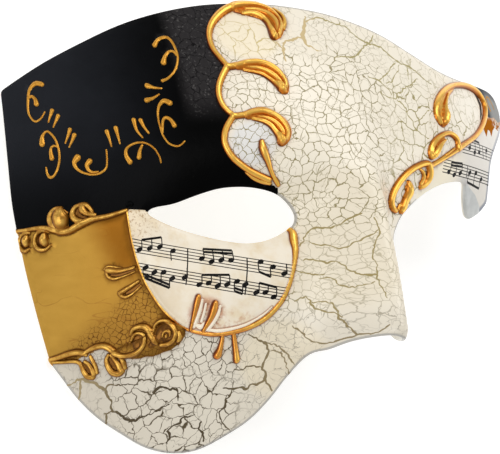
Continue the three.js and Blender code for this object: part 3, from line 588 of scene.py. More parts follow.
mass = Stroke(MASS_RUN, 0, bead_section, mass_rise)

# The relief of the skin.
# Plate, panel, lid and strokes are pressed into one skin, so every place of the sheet has one height over the
# form. Where two strokes meet, a small fillet fills the valley between them.
PLATE_REACH = 6.0
# The reach of the painted shadow beside a stroke, and where the painted shade starts across it.
CONTACT, CREASE_START = 0.6, 0.2
VALLEY, SLIVER, TINY = 0.7, 1e-6, 1e-9
BATCH = 8000


def inside(loop, places):
    """Which places lie inside a closed line."""
    found = np.zeros(len(places), bool)
    a, b = loop, np.roll(loop, -1, 0)
    low, high = loop.min(0), loop.max(0)
    near = np.flatnonzero(((places >= low) & (places <= high)).all(1))
    for part in np.array_split(near, len(near) // BATCH + 1):
        s, y = places[part, 0, None], places[part, 1, None]
        crosses = (a[:, 1] > y) != (b[:, 1] > y)
        with np.errstate(divide="ignore", invalid="ignore"):
            at = (b[:, 0] - a[:, 0]) * (y - a[:, 1]) / (b[:, 1] - a[:, 1]) + a[:, 0]
        found[part] = (crosses & (s < at)).sum(1) % 2 == 1
    return found


def distance(line, places, reach):
    """How far places are from a closed line, up to a reach."""
    found = np.full(len(places), reach, float)
    low, high = line.min(0) - reach, line.max(0) + reach
    near = np.flatnonzero(((places >= low) & (places <= high)).all(1))
    ahead = np.roll(line, -1, 0) - line
    for part in np.array_split(near, len(near) // BATCH + 1):
        gap = places[part, None, :] - line[None]
        along = np.clip((gap * ahead).sum(-1) / np.maximum((ahead ** 2).sum(-1), TINY), 0, 1)
        gap = gap - ahead * along[..., None]
        found[part] = np.minimum(found[part], np.hypot(gap[..., 0], gap[..., 1]).min(1))
    return found


def skin_height(places):
    """The height of the moulded skin over the form, without the strokes."""
    height = np.zeros(len(places))
    in_plate = inside(plate, places)
    from_plate = distance(plate, places, PLATE_REACH)
    height += np.where(in_plate, PLATE_RISE * smooth(from_plate / PLATE_STEP), 0)
    lip = LIP_RISE * np.exp(-((from_plate - LIP_INSET) / LIP_WIDTH) ** 2)
    lip = lip * smooth((LIP_TOP - places[:, 1]) / LIP_FADE) * smooth((LIP_SIDE - places[:, 0]) / LIP_FADE)
    height += np.where(in_plate, lip, 0)
    from_eye = distance(eye, places, LID_REACH)
    height -= LID_DROP * (1 - from_eye / LID_REACH) ** 2
    in_panel = inside(panel, places) & ~in_plate
    from_panel = distance(panel, places, PANEL_SLOPE)
    corner = np.exp(-(np.linalg.norm(places - PANEL_CORNER, axis=1) / CORNER_REACH) ** 2)
    depth = (PANEL_DEPTH + CORNER_DEPTH * corner) * smooth(from_panel / PANEL_SLOPE)
    height -= np.where(in_panel, depth, 0)
    return height


def raised(layer, places, ground):
    """Lifts places to the strokes of a layer that cross them. Gives the heights, and the painted shade of
    each
    place: darker on a stroke towards its foot and its left, and a painted shadow beside it within a hair's
    breadth."""
    height = ground.copy()
    crease_shade = np.zeros(len(places))
    around = np.zeros(len(places))
    for stroke in layer:
        near = stroke.near(places, 1 + CONTACT / stroke.line[:, 2].min())
        if not len(near):
            continue
        share, half, lean = stroke.across(places[near])
        base = ground[near] if stroke.base is None else stroke.base
        rise = stroke.rise(2 * half)
        top = base + stroke.section(share) * rise
        above = (share < 1) & (top > height[near])
        depth = (share - CREASE_START - stroke.shade * lean) / (1 - CREASE_START)
        crease_shade[near[above]] = np.clip(depth, 0, 1)[above]
        valley = np.clip(np.minimum(top, height[near]) - ground[near], SLIVER, VALLEY)
        meeting = np.clip(1 - np.abs(top - height[near]) / valley, 0, 1) ** 2 * valley / 4
        height[near] = np.where(share < 1, np.maximum(top, height[near]) + meeting, height[near])
        foot = np.sqrt(np.clip(1 - (np.maximum(ground[near] - base, 0) / rise) ** 2, 0, 1))
        outside = (share >= foot) & (foot > 0)
        fade = 1 - smooth((share - foot) * half / CONTACT)
        around[near[outside]] = np.maximum(around[near[outside]], fade[outside])
    return height, np.where(height > ground, crease_shade, around)


# The printed music.
# Two staves with bar lines and beamed notes run across the plate, and two more across the far temple. The
# notes are a plain pattern and no melody.
INK_LINE, INK_STEM, INK_BAR, INK_BEAM = 0.28, 0.36, 0.4, 0.74
HEAD_LONG, HEAD_SHORT, HEAD_TILT, HEAD_POINTS = 1.0, 0.72, math.radians(24), 12
STAVE_LINES, STAVE_SLANT = 5, 0.6
STEM_INSET, STEM_GAPS, BEAM_GAP = 0.14, 3.1, 0.95
INK_STEP = 1.8


class Stave:
    """Five lines along a gently bent top line: y at a middle s, slope and bend, and the gap between lines."""

    def __init__(self, middle, y, slope, bend, gap, start, end):
        self.middle, self.y, self.slope, self.bend, self.gap = middle, y, slope, bend, gap
        self.start, self.end = start, end

    def at(self, s, line):
        """A point on a line of the stave, 0 at the top and 4 at the bottom, or between and beyond them."""
        run = s - self.middle
        drop = line * self.gap
        y = self.y + self.slope * run + self.bend * run * run - drop
        return np.array([s + drop * self.slope * STAVE_SLANT, y])


def bar(a, b, width):
    """The outline of a straight inked bar from a to b."""
    ahead = (b - a) / np.linalg.norm(b - a)
    aside = np.array([-ahead[1], ahead[0]]) * width / 2
    return np.array([a + aside, a - aside, b - aside, b + aside])


def stave_ink(stave, groups, bars):
    """The inked outlines of a stave: its lines, its bar lines and groups of beamed notes."""
    shapes = []
    for line in range(STAVE_LINES):
        run = np.linspace(stave.start, stave.end, round((stave.end - stave.start) / INK_STEP) + 1)
        upper = np.array([stave.at(s, line) + [0, INK_LINE / 2] for s in run])
        shapes.append(np.vstack([upper, (upper - [0, INK_LINE])[::-1]]))
    for s, reach in bars:
        shapes.append(bar(stave.at(s, 0), stave.at(s, reach), INK_BAR))
    angles = np.linspace(0, 2 * math.pi, HEAD_POINTS, endpoint=False)
    cosine, sine = math.cos(HEAD_TILT), math.sin(HEAD_TILT)
    oval = np.column_stack([HEAD_LONG * np.cos(angles), HEAD_SHORT * np.sin(angles)])
    oval = oval @ np.array([[cosine, sine], [-sine, cosine]])
    for start, gap, lines, side, beams in groups:
        heads = [stave.at(start + gap * k, line) for k, line in enumerate(lines)]
        shapes += [head + oval for head in heads]
        stem_feet = [head + [side * (HEAD_LONG - STEM_INSET), 0] for head in heads]
        far = stave.gap * STEM_GAPS * side
        ends = [stem_feet[0] + [0, far], stem_feet[-1] + [0, far]]
        for foot in stem_feet:
            share = (foot[0] - stem_feet[0][0]) / max(stem_feet[-1][0] - stem_feet[0][0], SLIVER)
            top = ends[0] + (ends[1] - ends[0]) * share
            shapes.append(bar(foot, top, INK_STEM))
        for k in range(beams if len(heads) > 1 else 0):
            drop = np.array([0, -side * k * BEAM_GAP])
            shapes.append(bar(ends[0] + drop, ends[1] + drop, INK_BEAM))
    return shapes


UPPER = Stave(-49, -11.25, -0.2067, 0.0004, 0.97, -76, -22)
LOWER = Stave(-49, -18.5, -0.2067, 0.0005, 0.92, -75, -24)
UPPER_NOTES = [(-71.5, 3.3, (3, 2, 1), 1, 1), (-60.5, 0, (1.5,), -1, 0), (-51.4, 3.0, (2.5, 3, 2, 1.5), 1, 2),
               (-33.6, 3.6, (0.5, 1.5), -1, 1), (-26.6, 0, (3,), 1, 0)]
LOWER_NOTES = [(-69.8, 2.9, (1, 2, 1.5, 3), -1, 2), (-57.3, 0, (2,), 1, 0),
               (-52.6, 2.8, (3.5, 2.5, 3, 2), 1, 1), (-41.3, 2.6, (0.5, 1), -1, 2),
               (-35.2, 2.7, (3, 2.5, 3.5), 1, 1)]
TEMPLE_UPPER = Stave(58, 26.5, -0.02, 0, 1.05, 45, 73)
TEMPLE_LOWER = Stave(50, 18.6, -0.045, 0, 0.97, 34, 65)
TEMPLE_UPPER_NOTES = [(50, 3.6, (2, 3, 2.5), 1, 1), (64, 0, (1,), -1, 0)]
TEMPLE_LOWER_NOTES = [(37.6, 3.4, (3.5, 4, 3), 1, 2), (50.5, 4.2, (2, 1.5, 3), -1, 1)]
plate_ink = stave_ink(UPPER, UPPER_NOTES, [(-55.8, 11.4), (-37.6, 11.4)])
plate_ink += stave_ink(LOWER, LOWER_NOTES, [])
temple_ink = stave_ink(TEMPLE_UPPER, TEMPLE_UPPER_NOTES, [(60.5, 4)])
temple_ink += stave_ink(TEMPLE_LOWER, TEMPLE_LOWER_NOTES, [(48.6, 4)])

# The broad cracks.
# Where the cream was laid thickest it has parted widely, and the brown size under it shows. They are flat.
BROAD_CRACKS = [
    [[-94.4, -49.6, 0.5], [-91.5, -48.6, 0.7], [-90.2, -47.6, 1], [-88.5, -47.6, 1.1], [-86.5, -48.6, 0.9],
     [-84.3, -49, 0.8], [-82, -50.6, 1], [-80.4, -51.4, 1], [-79.8, -52.9, 0.8], [-78.3, -54.7, 0.7],
     [-78, -56.3, 0.8], [-77.2, -58, 0.7], [-75.6, -58.3, 0.8], [-73.8, -59.4, 0.7], [-72.2, -60.6, 0.9],
     [-70.5, -61, 1], [-69, -61.2, 0.8], [-67.6, -60.2, 0.6], [-65.4, -59.7, 0.5], [-63, -58.7, 0.5],
     [-61, -57.4, 0.5], [-59, -56.6, 0.5]],
    [[-89.6, -47.7, 0.5], [-89.2, -50, 0.8], [-88.9, -52.2, 0.7], [-89.6, -53.6, 0.6]],
    [[-79.8, -58.6, 0.5], [-78.6, -58.5, 0.6], [-77.2, -58, 0.6]],
    [[-79, -58.6, 0.5], [-78.8, -60.6, 0.7], [-78.5, -62.4, 0.5]],
    [[-80.4, -51.2, 0.8], [-79.8, -50, 0.6], [-77, -50.1, 0.4], [-73.6, -50, 0.4], [-70, -50.3, 0.4]],
    [[-64.6, -53.2, 0.5], [-63.6, -51.9, 0.8], [-61.6, -51.4, 0.6], [-59.5, -52, 0.7], [-57.4, -52.6, 0.7],
     [-56.6, -54, 0.6], [-56.4, -55.8, 0.4]],
    [[-58.4, -64.8, 0.4], [-56.6, -63.2, 0.5], [-54.8, -62.4, 0.7], [-54, -61, 0.8], [-52.2, -60.6, 0.5],
     [-50.6, -60.3, 0.3]],
    [[-58.2, -64.8, 0.5], [-57.2, -66.3, 0.8], [-58, -68.4, 0.5]],
    [[-48.3, -62.4, 0.5], [-48.4, -64.5, 0.6], [-47, -66, 0.6], [-46.3, -68.4, 0.5]],
    [[-37, -36.6, 0.4], [-34, -38.2, 0.6], [-31.4, -39.9, 0.7], [-30.5, -41.5, 0.7], [-30.6, -43.5, 0.9],
     [-31.6, -45.5, 0.9], [-31.4, -47.2, 0.8], [-30.4, -48.8, 0.8], [-30.3, -50.2, 0.9], [-29, -51.8, 0.6],
     [-27.6, -53.6, 0.5]],
    [[-31.6, -46.7, 0.5], [-34, -46.3, 0.5], [-36.5, -46.2, 0.4], [-38, -47.2, 0.4], [-40, -47, 0.3]],
    [[-30.4, -50.4, 0.7], [-32.5, -51.6, 0.7], [-34.7, -52, 0.7], [-35.4, -53, 0.9], [-37.6, -52.6, 0.7],
     [-40, -52.9, 0.6], [-43, -52.5, 0.4]],
    [[-32.4, -39, 0.4], [-30, -39.7, 0.4], [-28, -40.2, 0.5], [-26, -41.8, 0.5], [-24.3, -43.4, 0.5],
     [-23.2, -45, 0.5], [-22, -46, 0.3]],
    [[-30.5, -41.7, 0.3], [-28.4, -41.9, 0.4], [-26.8, -42.6, 0.4], [-25.4, -44.4, 0.3],
     [-24.4, -46.6, 0.3], [-23.6, -48.4, 0.3]],
    [[-40.2, -52.9, 0.4], [-40.4, -54.8, 0.5], [-41.6, -56, 0.6], [-41.5, -58.2, 0.6], [-43, -59.8, 0.5],
     [-42.3, -61.6, 0.5], [-41, -63.6, 0.5], [-39, -65, 0.4]],
    [[-9.6, 65, 0.5], [-10.6, 63.2, 0.8], [-11.2, 61.5, 1], [-12, 59.9, 1.1], [-12.9, 58.3, 1.2],
     [-13.1, 56.6, 1], [-12.7, 54.9, 0.8], [-11.8, 54.1, 0.5], [-10.2, 53.2, 0.4], [-8.5, 52.4, 0.3]],
    [[-13, 57.3, 0.7], [-15, 57.2, 0.8], [-17, 56.3, 0.8], [-19, 55.9, 0.8], [-20.3, 55, 0.6],
     [-20.8, 53, 0.6], [-21.5, 50.6, 0.6], [-21.4, 49, 0.4]],
    [[-10.2, 63.1, 0.5], [-8, 64.2, 0.5], [-5, 64.9, 0.6], [-2.5, 64, 0.6], [-1, 63.2, 0.5],
     [0.8, 62.8, 0.5], [2, 63.4, 0.3]],
    [[-22.6, 55.4, 0.5], [-21.4, 53.3, 0.6], [-21, 51.4, 0.4]],
    [[0.8, 62.8, 0.4], [4, 61.6, 0.5], [4.8, 60, 0.5], [7, 57.8, 0.5], [9.6, 56.4, 0.7], [12.6, 56, 0.6],
     [15, 55, 0.6], [16.6, 53.2, 0.6], [18.6, 51.8, 0.6], [20.6, 50.4, 0.7], [23.6, 49.6, 0.7],
     [26.6, 48.4, 0.6], [28.6, 46.8, 0.5], [31, 45.2, 0.4], [33.6, 44.4, 0.3]],
    [[9.6, 56.4, 0.5], [7.4, 55, 0.5], [5.6, 53.4, 0.6], [3.4, 51.6, 0.6], [1, 50.9, 0.5], [-1.4, 51, 0.4],
     [-4.4, 50.6, 0.3]],
    [[10, 56.6, 0.4], [11.6, 57.8, 0.5], [13, 59.6, 0.3]],
    [[5.4, 44.6, 0.3], [7.4, 43.8, 0.5], [9.4, 43.3, 0.5], [10.6, 41.8, 0.4], [12.6, 40, 0.3],
     [12.9, 38.6, 0.3]],
    [[9.6, 43.5, 0.3], [12, 45, 0.4], [14, 46.6, 0.4], [16.6, 49, 0.4], [18.6, 50.3, 0.3]],
    [[12, 42.6, 0.3], [14.6, 43.4, 0.4], [16.6, 45.8, 0.3], [18.6, 47.6, 0.3], [19.8, 49.6, 0.3]],
    [[27, 45.6, 0.3], [24.6, 44.4, 0.4], [22.6, 42.8, 0.5], [20, 41.8, 0.5], [17.4, 40, 0.5],
     [15.4, 39.2, 0.5], [14.4, 37.4, 0.4], [13, 37.6, 0.3], [11, 37.8, 0.3], [8.6, 39.4, 0.3]],
    [[14.6, 37.2, 0.4], [17, 35.6, 0.5], [18, 34, 0.4], [18.4, 32, 0.4], [19.9, 30.4, 0.4], [20, 28.6, 0.5],
     [22.4, 26.8, 0.4], [24.6, 25.8, 0.3], [26.6, 25.2, 0.3]],
    [[20.4, 30.2, 0.3], [23.4, 31.2, 0.3], [25.6, 33, 0.3], [28.6, 34.8, 0.3]],
    [[23.4, 49.4, 0.4], [22.8, 47, 0.4], [22.4, 45, 0.3]],
    [[25, 49.8, 0.3], [26.4, 52.6, 0.4]],
    [[-21.5, -10, 0.4], [-20, -7.6, 0.5], [-18.6, -5.6, 0.5], [-16.6, -4.5, 0.6], [-14.4, -4.6, 0.6],
     [-11.6, -4.4, 0.4], [-9.6, -3, 0.4], [-7.2, -1.4, 0.5], [-6, -1, 0.4]],
    [[-19.4, -8.2, 0.3], [-17, -9.8, 0.4], [-14, -10.2, 0.5], [-11, -11.4, 0.5], [-8.5, -10, 0.4],
     [-5.6, -8.6, 0.4], [-3, -6.8, 0.3]],
    [[-3.4, -2.6, 0.3], [-2.9, -5, 0.4], [-2.8, -7.6, 0.4], [-4, -9.8, 0.3], [-4.8, -12.4, 0.4],
     [-5.4, -15, 0.3], [-4.8, -18, 0.3], [-5.2, -21.6, 0.4], [-4.6, -24.6, 0.3], [-3.8, -28, 0.3]],
    [[-21, -14.2, 0.3], [-18, -14.6, 0.5], [-15, -15.6, 0.5], [-13, -15.4, 0.3], [-11.4, -17, 0.4],
     [-9.4, -19.4, 0.4], [-7.4, -20.4, 0.7], [-5.2, -20.6, 0.8]],
    [[-23.5, -17.4, 0.4], [-20, -18.8, 0.5], [-16, -19.2, 0.4]],
    [[-17, -20.2, 0.3], [-14, -20.6, 0.4], [-12.6, -23, 0.4], [-10, -23.8, 0.4], [-7.6, -23.4, 0.3],
     [-5.6, -22.6, 0.3]],
    [[-24, -27, 0.3], [-21.6, -26, 0.4], [-20, -26.4, 0.5], [-18.6, -29.2, 0.5], [-16, -30.6, 0.4],
     [-14, -31.4, 0.4], [-12.6, -34.4, 0.5], [-11, -37, 0.4], [-10, -38.6, 0.4]],
    [[-20, -27.6, 0.3], [-17, -27.6, 0.4], [-15, -28, 0.4], [-14, -29.6, 0.4], [-12.6, -32.8, 0.3]],
    [[-24, -34.6, 0.5], [-21.6, -36.4, 0.5], [-20, -38.6, 0.5], [-18, -39.7, 0.4], [-15.4, -40.4, 0.5],
     [-13, -39.8, 0.5], [-10, -38.6, 0.5], [-7, -38.4, 0.4], [-5.6, -37.6, 0.4], [-4, -36.4, 0.3]],
]
CRACK_STEP, CRACK_SHAKE, CRACK_WIDTHS = 0.7, 0.13, (0.55, 1.25)
CRACK_SEED = 5
shake = np.random.default_rng(CRACK_SEED)


def wavered(points):
    """The run of a crack with more points, each a little out of line."""
    run = smooth_run(points, CRACK_STEP)
    run[:, :2] += shake.normal(0, CRACK_SHAKE, (len(run), 2))
    run[:, 2] *= shake.uniform(*CRACK_WIDTHS, len(run))
    return run


cracks = [Stroke(wavered(points), 0, bead_section, strand_rise) for points in BROAD_CRACKS]

# The paint.
# It is painted in fields that meet under the scrolls: black over one temple, cream over the face, antique
# gold on the side panel and printed paper white on the plate and the far temple. A grey field covers part of
# the tab.
BLACK_FIELD = [[-33, 75], [-33, 67.7], [-35.5, 66.6], [-39.2, 63.9], [-41.7, 60.7], [-43, 57.2],
               [-42.9, 53.5], [-41.4, 50], [-40.2, 46.6], [-42.7, 43], [-44.2, 40], [-44.8, 37.2],
               [-44.4, 34.6], [-41.6, 30.5], [-44.4, 25.8], [-44.7, 23.2], [-43.9, 20.5], [-42.2, 17.9],
               [-39.4, 15.3], [-33.5, 11.9], [-29, 9.6], [-26.9, 8.2], [-26.8, 5], [-50, 2], [-70, 1],
               [-76, 3], [-82.4, 1.7], [-87.6, 1.2], [-92.5, 0.5], [-96, -1.5], [-100, -1.9],
               [-103.5, -0.7], [-105.5, 0.7], [-111, 0.3], [-116.2, -0.2], [-130, -0.2], [-130, 75]]
FAR_BLACK_FIELD = [[66, 60], [67, 48.9], [69.2, 44.4], [70.4, 41.3], [69.5, 39], [74, 38.2], [78, 38.6],
                   [82.5, 39.5], [89, 38.6], [110, 43], [110, 60]]
FAR_GOLD_FIELD = [[68.8, 38.2], [66.2, 35.6], [64, 33.6], [66.3, 30.3], [69.4, 33.2], [71.3, 33.1],
                  [72.4, 31.2], [75.8, 33.9], [79.9, 35.5], [84, 35], [86.4, 35.4], [92, 37.6], [110, 43],
                  [89, 38.6], [82.5, 39.5], [78, 38.6], [74, 38.2]]
FAR_WHITE_FIELD = [[22, 9], [25, 12], [26.8, 16.8], [33, 19.4], [41.2, 23.3], [54.6, 28.6], [64, 33.6],
                   [66.3, 30.3], [69.4, 33.2], [71.3, 33.1], [72.4, 31.2], [75.8, 33.9], [79.9, 35.5],
                   [84, 35], [86.4, 35.4], [92, 37.6], [110, 43], [110, 0], [22, 0]]
FAR_GREY_FIELD = [[46, 14], [48, 0], [62, 0], [60.4, 4.6], [60, 6.9], [56.3, 10.1], [50.8, 12.5]]
CRESCENT_FIELD = [[62.4, 46.2], [66.4, 45], [68.6, 42], [66.4, 38.2], [62.5, 35.1], [65, 38.8], [66, 41.4],
                  [65, 44]]

# The fine mesh of the outer skin.
# Rows of points follow every stroke, edge and inked line, and a loose grid fills the plain skin between.
EDGE_ROUND, EDGE_CLEAR, EDGE_SLACK = 0.7, 0.45, 0.1
GRID_STEP, GRID_CLEAR, GRID_GAP = 1.5, 0.6, 0.55
PLATE_ROWS = (-2, -1.4, -0.8, -0.35, 0.3)
SHARES = (0, -0.22, 0.22, -0.44, 0.44, -0.64, 0.64, -0.82, 0.82, -0.94, 0.94, -1.14, 1.14)
THIN_SHARES = (0, -0.42, 0.42, -0.8, 0.8, -1.2, 1.2)
THIN, WIDE_HALF, DENSE_SHARE = 1.3, 0.9, 0.8
CAP_ANGLES, CAP_SLACK = 9, 0.12
POINT_GAP, FOOT_ROOM = 0.08, 0.1
CORNER_EASING = 4


def turned(loop, counter_clockwise):
    """A closed line in the given direction, with its corners eased."""
    for _ in range(CORNER_EASING):
        loop = (np.roll(loop, 1, 0) + 2 * loop + np.roll(loop, -1, 0)) / 4
    area = (loop[:, 0] * np.roll(loop[:, 1], -1) - loop[:, 1] * np.roll(loop[:, 0], -1)).sum()
    return loop if (area > 0) == counter_clockwise else loop[::-1]


def outward(loop):
    """The directions to the right of a closed line, longer at its corners."""
    ahead = np.roll(loop, -1, 0) - loop
    normal = np.column_stack([ahead[:, 1], -ahead[:, 0]])
    normal /= np.linalg.norm(normal, axis=1, keepdims=True)
    both = normal + np.roll(normal, 1, 0)
    return 2 * both / np.maximum((both ** 2).sum(1, keepdims=True), 2)


edges = [turned(outline, True), turned(eye, False)]
rings = [edge - outward(edge) * EDGE_ROUND for edge in edges]


def on_skin(places, clear):
    """Which places lie on the skin, with some room to its edges."""
    kept = inside(rings[0], places) & ~inside(rings[1], places)
    for ring in rings:
        kept &= distance(ring, places, clear + EDGE_SLACK) > clear
    return kept


corners, links = [], []


def add_line(line, closed=True, kept=None):
    """Adds a line that no face crosses, where it lies on the skin."""
    start = sum(map(len, corners))
    kept = on_skin(line, EDGE_CLEAR) if kept is None else kept
    index = np.arange(len(line))
    pairs = np.column_stack([index, np.roll(index, -1)])[:len(line) if closed else -1]
    links.append(start + pairs[kept[pairs].all(1)])
    corners.append(line)


for ring in rings:
    add_line(ring, kept=np.ones(len(ring), bool))
ring_count = sum(map(len, corners))
for shape in plate_ink + temple_ink:
    add_line(shape)
add_line(plate)
for stroke in [mass] + cracks:
    add_line(stroke.band(1))
for field in (FAR_BLACK_FIELD, FAR_GOLD_FIELD, FAR_WHITE_FIELD, FAR_GREY_FIELD, CRESCENT_FIELD):
    for a, b in zip(np.array(field, float), np.roll(field, -1, 0)):
        steps = max(1, round(np.linalg.norm(b - a) / EDGE_STEP))
        add_line(a + (b - a) * np.linspace(0, 1, steps + 1)[:, None], closed=False)
rows = [plate + outward(plate) * reach for reach in PLATE_ROWS]
for stroke in every_stroke:
    add_line(stroke.band(1))
    if stroke.line[:, 2].max() > WIDE_HALF:
        rows.append(stroke.band(1 + CONTACT / stroke.line[:, 2].max()))
    thin = 2 * stroke.line[:, 2].max() < THIN
    for share in THIN_SHARES if thin else SHARES:
        every = 1 if DENSE_SHARE < abs(share) < 1 else min(2, len(stroke.line) // 2)
        middle, ahead = stroke.line[::every], stroke.ahead[::every]
        aside = np.column_stack([-ahead[:, 1], ahead[:, 0]])
        row = [middle[:, :2] + aside * middle[:, 2:] * share]
        for end, sign in ((0, -1), (-1, 1)):
            facing = math.atan2(ahead[end, 1] * sign, ahead[end, 0] * sign)
            angles = facing + np.linspace(-0.5, 0.5, CAP_ANGLES)[1:-1] * math.pi
            around = np.column_stack([np.cos(angles), np.sin(angles)])
            row.append(middle[end, :2] + around * middle[end, 2] * abs(share))
        row = np.vstack(row if share else row[:1])
        found, half, _ = stroke.across(row)
        kept = (np.abs(found - abs(share)) < CAP_SLACK) & (np.abs(1 - found) * half > FOOT_ROOM)
        rows.append(row[kept])
rows = np.vstack(rows)
rows = rows[on_skin(rows, EDGE_CLEAR)]
points = np.vstack(corners + [rows])
fixed = len(points) - len(rows)
first = np.unique(np.round(points / POINT_GAP), axis=0, return_index=True)[1]
first = first[first >= fixed]
points = np.vstack([points[:fixed], points[first]])
tree = KDTree(len(points))
for index, point in enumerate(points):
    tree.insert((*point, 0), index)
tree.balance()


def loose_grid(step):
    """The corners of even triangles over the skin, clear of its edges."""
    low, high = edges[0].min(0), edges[0].max(0)
    s, y = np.meshgrid(np.arange(low[0], high[0], step), np.arange(low[1], high[1], step * math.sqrt(0.75)))
    s[::2] += step / 2
    grid = np.column_stack([s.ravel(), y.ravel()])
    return grid[on_skin(grid, GRID_CLEAR * step)]


grid = loose_grid(GRID_STEP)
grid = grid[[tree.find((*place, 0))[2] > GRID_GAP * GRID_STEP for place in grid]]
points = np.vstack([points, grid])


def triangles(points, pairs):
    """Fills the skin between points with triangles. Gives the points, the triangles and the place of each
    ring point among them."""
    made, _, faces, origins, _, _ = delaunay_2d_cdt([Vector(p) for p in points], pairs, [], 0, SLIVER)
    made = np.array(made)
    faces = np.array(faces)
    middle = made[faces].mean(1)
    faces = faces[inside(rings[0], middle) & ~inside(rings[1], middle)]
    a, b, c = (made[faces[:, k]] for k in range(3))
    backward = (b[:, 0] - a[:, 0]) * (c[:, 1] - a[:, 1]) < (b[:, 1] - a[:, 1]) * (c[:, 0] - a[:, 0])
    faces[backward] = faces[backward][:, ::-1]
    place_of = {origin: index for index, found in enumerate(origins) for origin in found}
    used, faces = np.unique(faces, return_inverse=True)
    ring_at = np.searchsorted(used, [place_of[index] for index in range(ring_count)])
    return made[used], faces.reshape(-1, 3), ring_at


flat, faces, ring_at = triangles(points, np.vstack(links).tolist())

# The paint of every place.
# Each triangle gets the finish of the last field or stroke that covers it, so the borders of the paint run
# along lines of the mesh. Every stroke carries painted shade in its creases and a painted shadow beside it,
# less where gilding meets gilding, and each layer gives the least painted shade on its strokes.
(CREAM, BLACK, GOLD, LINER, ANTIQUE, PAPER, INK, FAR_BLACK, FAR_GOLD, GREY, BARE, CRACK, RIDGE,
 PANEL_GOLD) = range(14)
LAYERS = [(scroll_beds, GOLD, 0.7), (far_beds, GOLD, 0.2), (strands, GOLD, 0.2), ([mass], ANTIQUE, 0),
          (panel_beds, PANEL_GOLD, 0.8), (streaks, RIDGE, 0), (black_beads, BLACK, 0),
          (panel_scrolls, PANEL_GOLD, 0), (scrolls, GOLD, 0), (lined, LINER, 0)]
FIELDS = [(FAR_WHITE_FIELD, PAPER), (FAR_GREY_FIELD, GREY), (FAR_BLACK_FIELD, FAR_BLACK),
          (FAR_GOLD_FIELD, FAR_GOLD), (CRESCENT_FIELD, BLACK), (BLACK_FIELD, BLACK), (panel, ANTIQUE)]
GOLD_ON_GOLD = 0.6


def dress(places):
    """The height, the paint and the painted shade of places on the outer skin."""
    height = skin_height(places)
    kind = np.full(len(places), CREAM)
    for field, finish in FIELDS:
        kind[inside(np.array(field, float), places)] = finish
    for crack in cracks:
        near = crack.near(places, 1)
        near = near[inside(crack.band(1), places[near])]
        kind[near[kind[near] == CREAM]] = CRACK
    kind[inside(plate, places)] = PAPER
    crease_shade = np.zeros(len(places))
    for layer, finish, hollow in LAYERS:
        before = height
        height, foot = raised(layer, places, height)
        changed = height > before
        foot = foot * np.where((kind == GOLD) & (finish == GOLD), GOLD_ON_GOLD, 1)
        kind[changed] = finish
        crease_shade = np.where(changed, np.maximum(foot, hollow), np.maximum(crease_shade, foot))
    return height, kind, crease_shade


height, _, crease_shade = dress(flat)
middles = flat[faces].mean(1)
_, kinds, _ = dress(middles)
printed = np.flatnonzero(kinds == PAPER)
for shape in plate_ink + temple_ink:
    kinds[printed[inside(shape, middles[printed])]] = INK

# The shell.
# The skin turns over a rounded edge into a plain inner wall, one closed moulding of even thickness.
RIM_STEPS, RIM_REACH, RIM_SAMPLE = 8, 3.0, 0.3
INNER_STEP = 2.6
SHARP_ANGLE = math.radians(60)
vertices = [wrap(flat[:, 0], flat[:, 1], height)]
sheets = [np.column_stack([flat, -np.minimum(*(distance(ring, flat, RIM_REACH) for ring in rings))])]
crease_shades = [crease_shade]
kind_list = [kinds]
face_list = [faces]
total = len(flat)
start = 0
last_rings = []
for edge, ring in zip(edges, rings):
    at = ring_at[start:start + len(ring)]
    start += len(ring)
    out = outward(edge) * EDGE_ROUND
    top = height[at]
    _, ring_kind, _ = dress((ring + np.roll(ring, -1, 0)) / 2 - out * RIM_SAMPLE)
    for step in range(1, RIM_STEPS + 1):
        angle = math.pi * step / RIM_STEPS
        place = ring + out * math.sin(angle)
        vertices.append(wrap(place[:, 0], place[:, 1], -WALL + (WALL + top) * (1 + math.cos(angle)) / 2))
        sheets.append(np.column_stack([place, np.full(len(place), step / RIM_STEPS)]))
        crease_shades.append(np.zeros(len(place)))
        below = total + np.arange(len(ring))
        total += len(ring)
        a, b = np.roll(at, -1), np.roll(below, -1)
        face_list += [np.column_stack([a, at, below]), np.column_stack([a, below, b])]
        kind_list += [ring_kind if step <= RIM_STEPS / 2 else np.full(len(ring), BARE)] * 2
        at = below
    last_rings.append(at)
last_rings = np.concatenate(last_rings)
inner_points = np.vstack([*rings, loose_grid(INNER_STEP)])
inner_flat, inner_faces, inner_ring = triangles(inner_points, np.vstack(links[:2]).tolist())
renumber = np.full(len(inner_flat), -1)
renumber[inner_ring] = last_rings
fresh = np.flatnonzero(renumber < 0)
renumber[fresh] = total + np.arange(len(fresh))
vertices.append(wrap(inner_flat[fresh, 0], inner_flat[fresh, 1], np.full(len(fresh), -WALL)))
sheets.append(np.column_stack([inner_flat[fresh], np.ones(len(fresh))]))
crease_shades.append(np.zeros(len(fresh)))
face_list.append(renumber[inner_faces][:, ::-1])
kind_list.append(np.full(len(inner_faces), BARE))
vertices = lay(np.vstack(vertices))
sheets = np.vstack(sheets)
shell = bpy.data.meshes.new("painted_mask")
shell.from_pydata(vertices.tolist(), [], np.vstack(face_list).tolist())
mask = bpy.data.objects.new("painted_mask", shell)
bpy.context.collection.objects.link(mask)
shell.polygons.foreach_set("material_index", np.concatenate(kind_list).astype(np.int32))
sheet_attribute = shell.attributes.new("sheet", "FLOAT_VECTOR", "POINT")
sheet_attribute.data.foreach_set("vector", sheets.astype(np.float32).ravel())
crease_shade_attribute = shell.attributes.new("crease_shade", "FLOAT", "POINT")
crease_shade_attribute.data.foreach_set("value", np.concatenate(crease_shades).astype(np.float32))
shell.validate()
bpy.context.view_layer.objects.active = mask
mask.select_set(True)
bpy.ops.object.shade_smooth_by_angle(angle=SHARP_ANGLE)
mask.select_set(False)

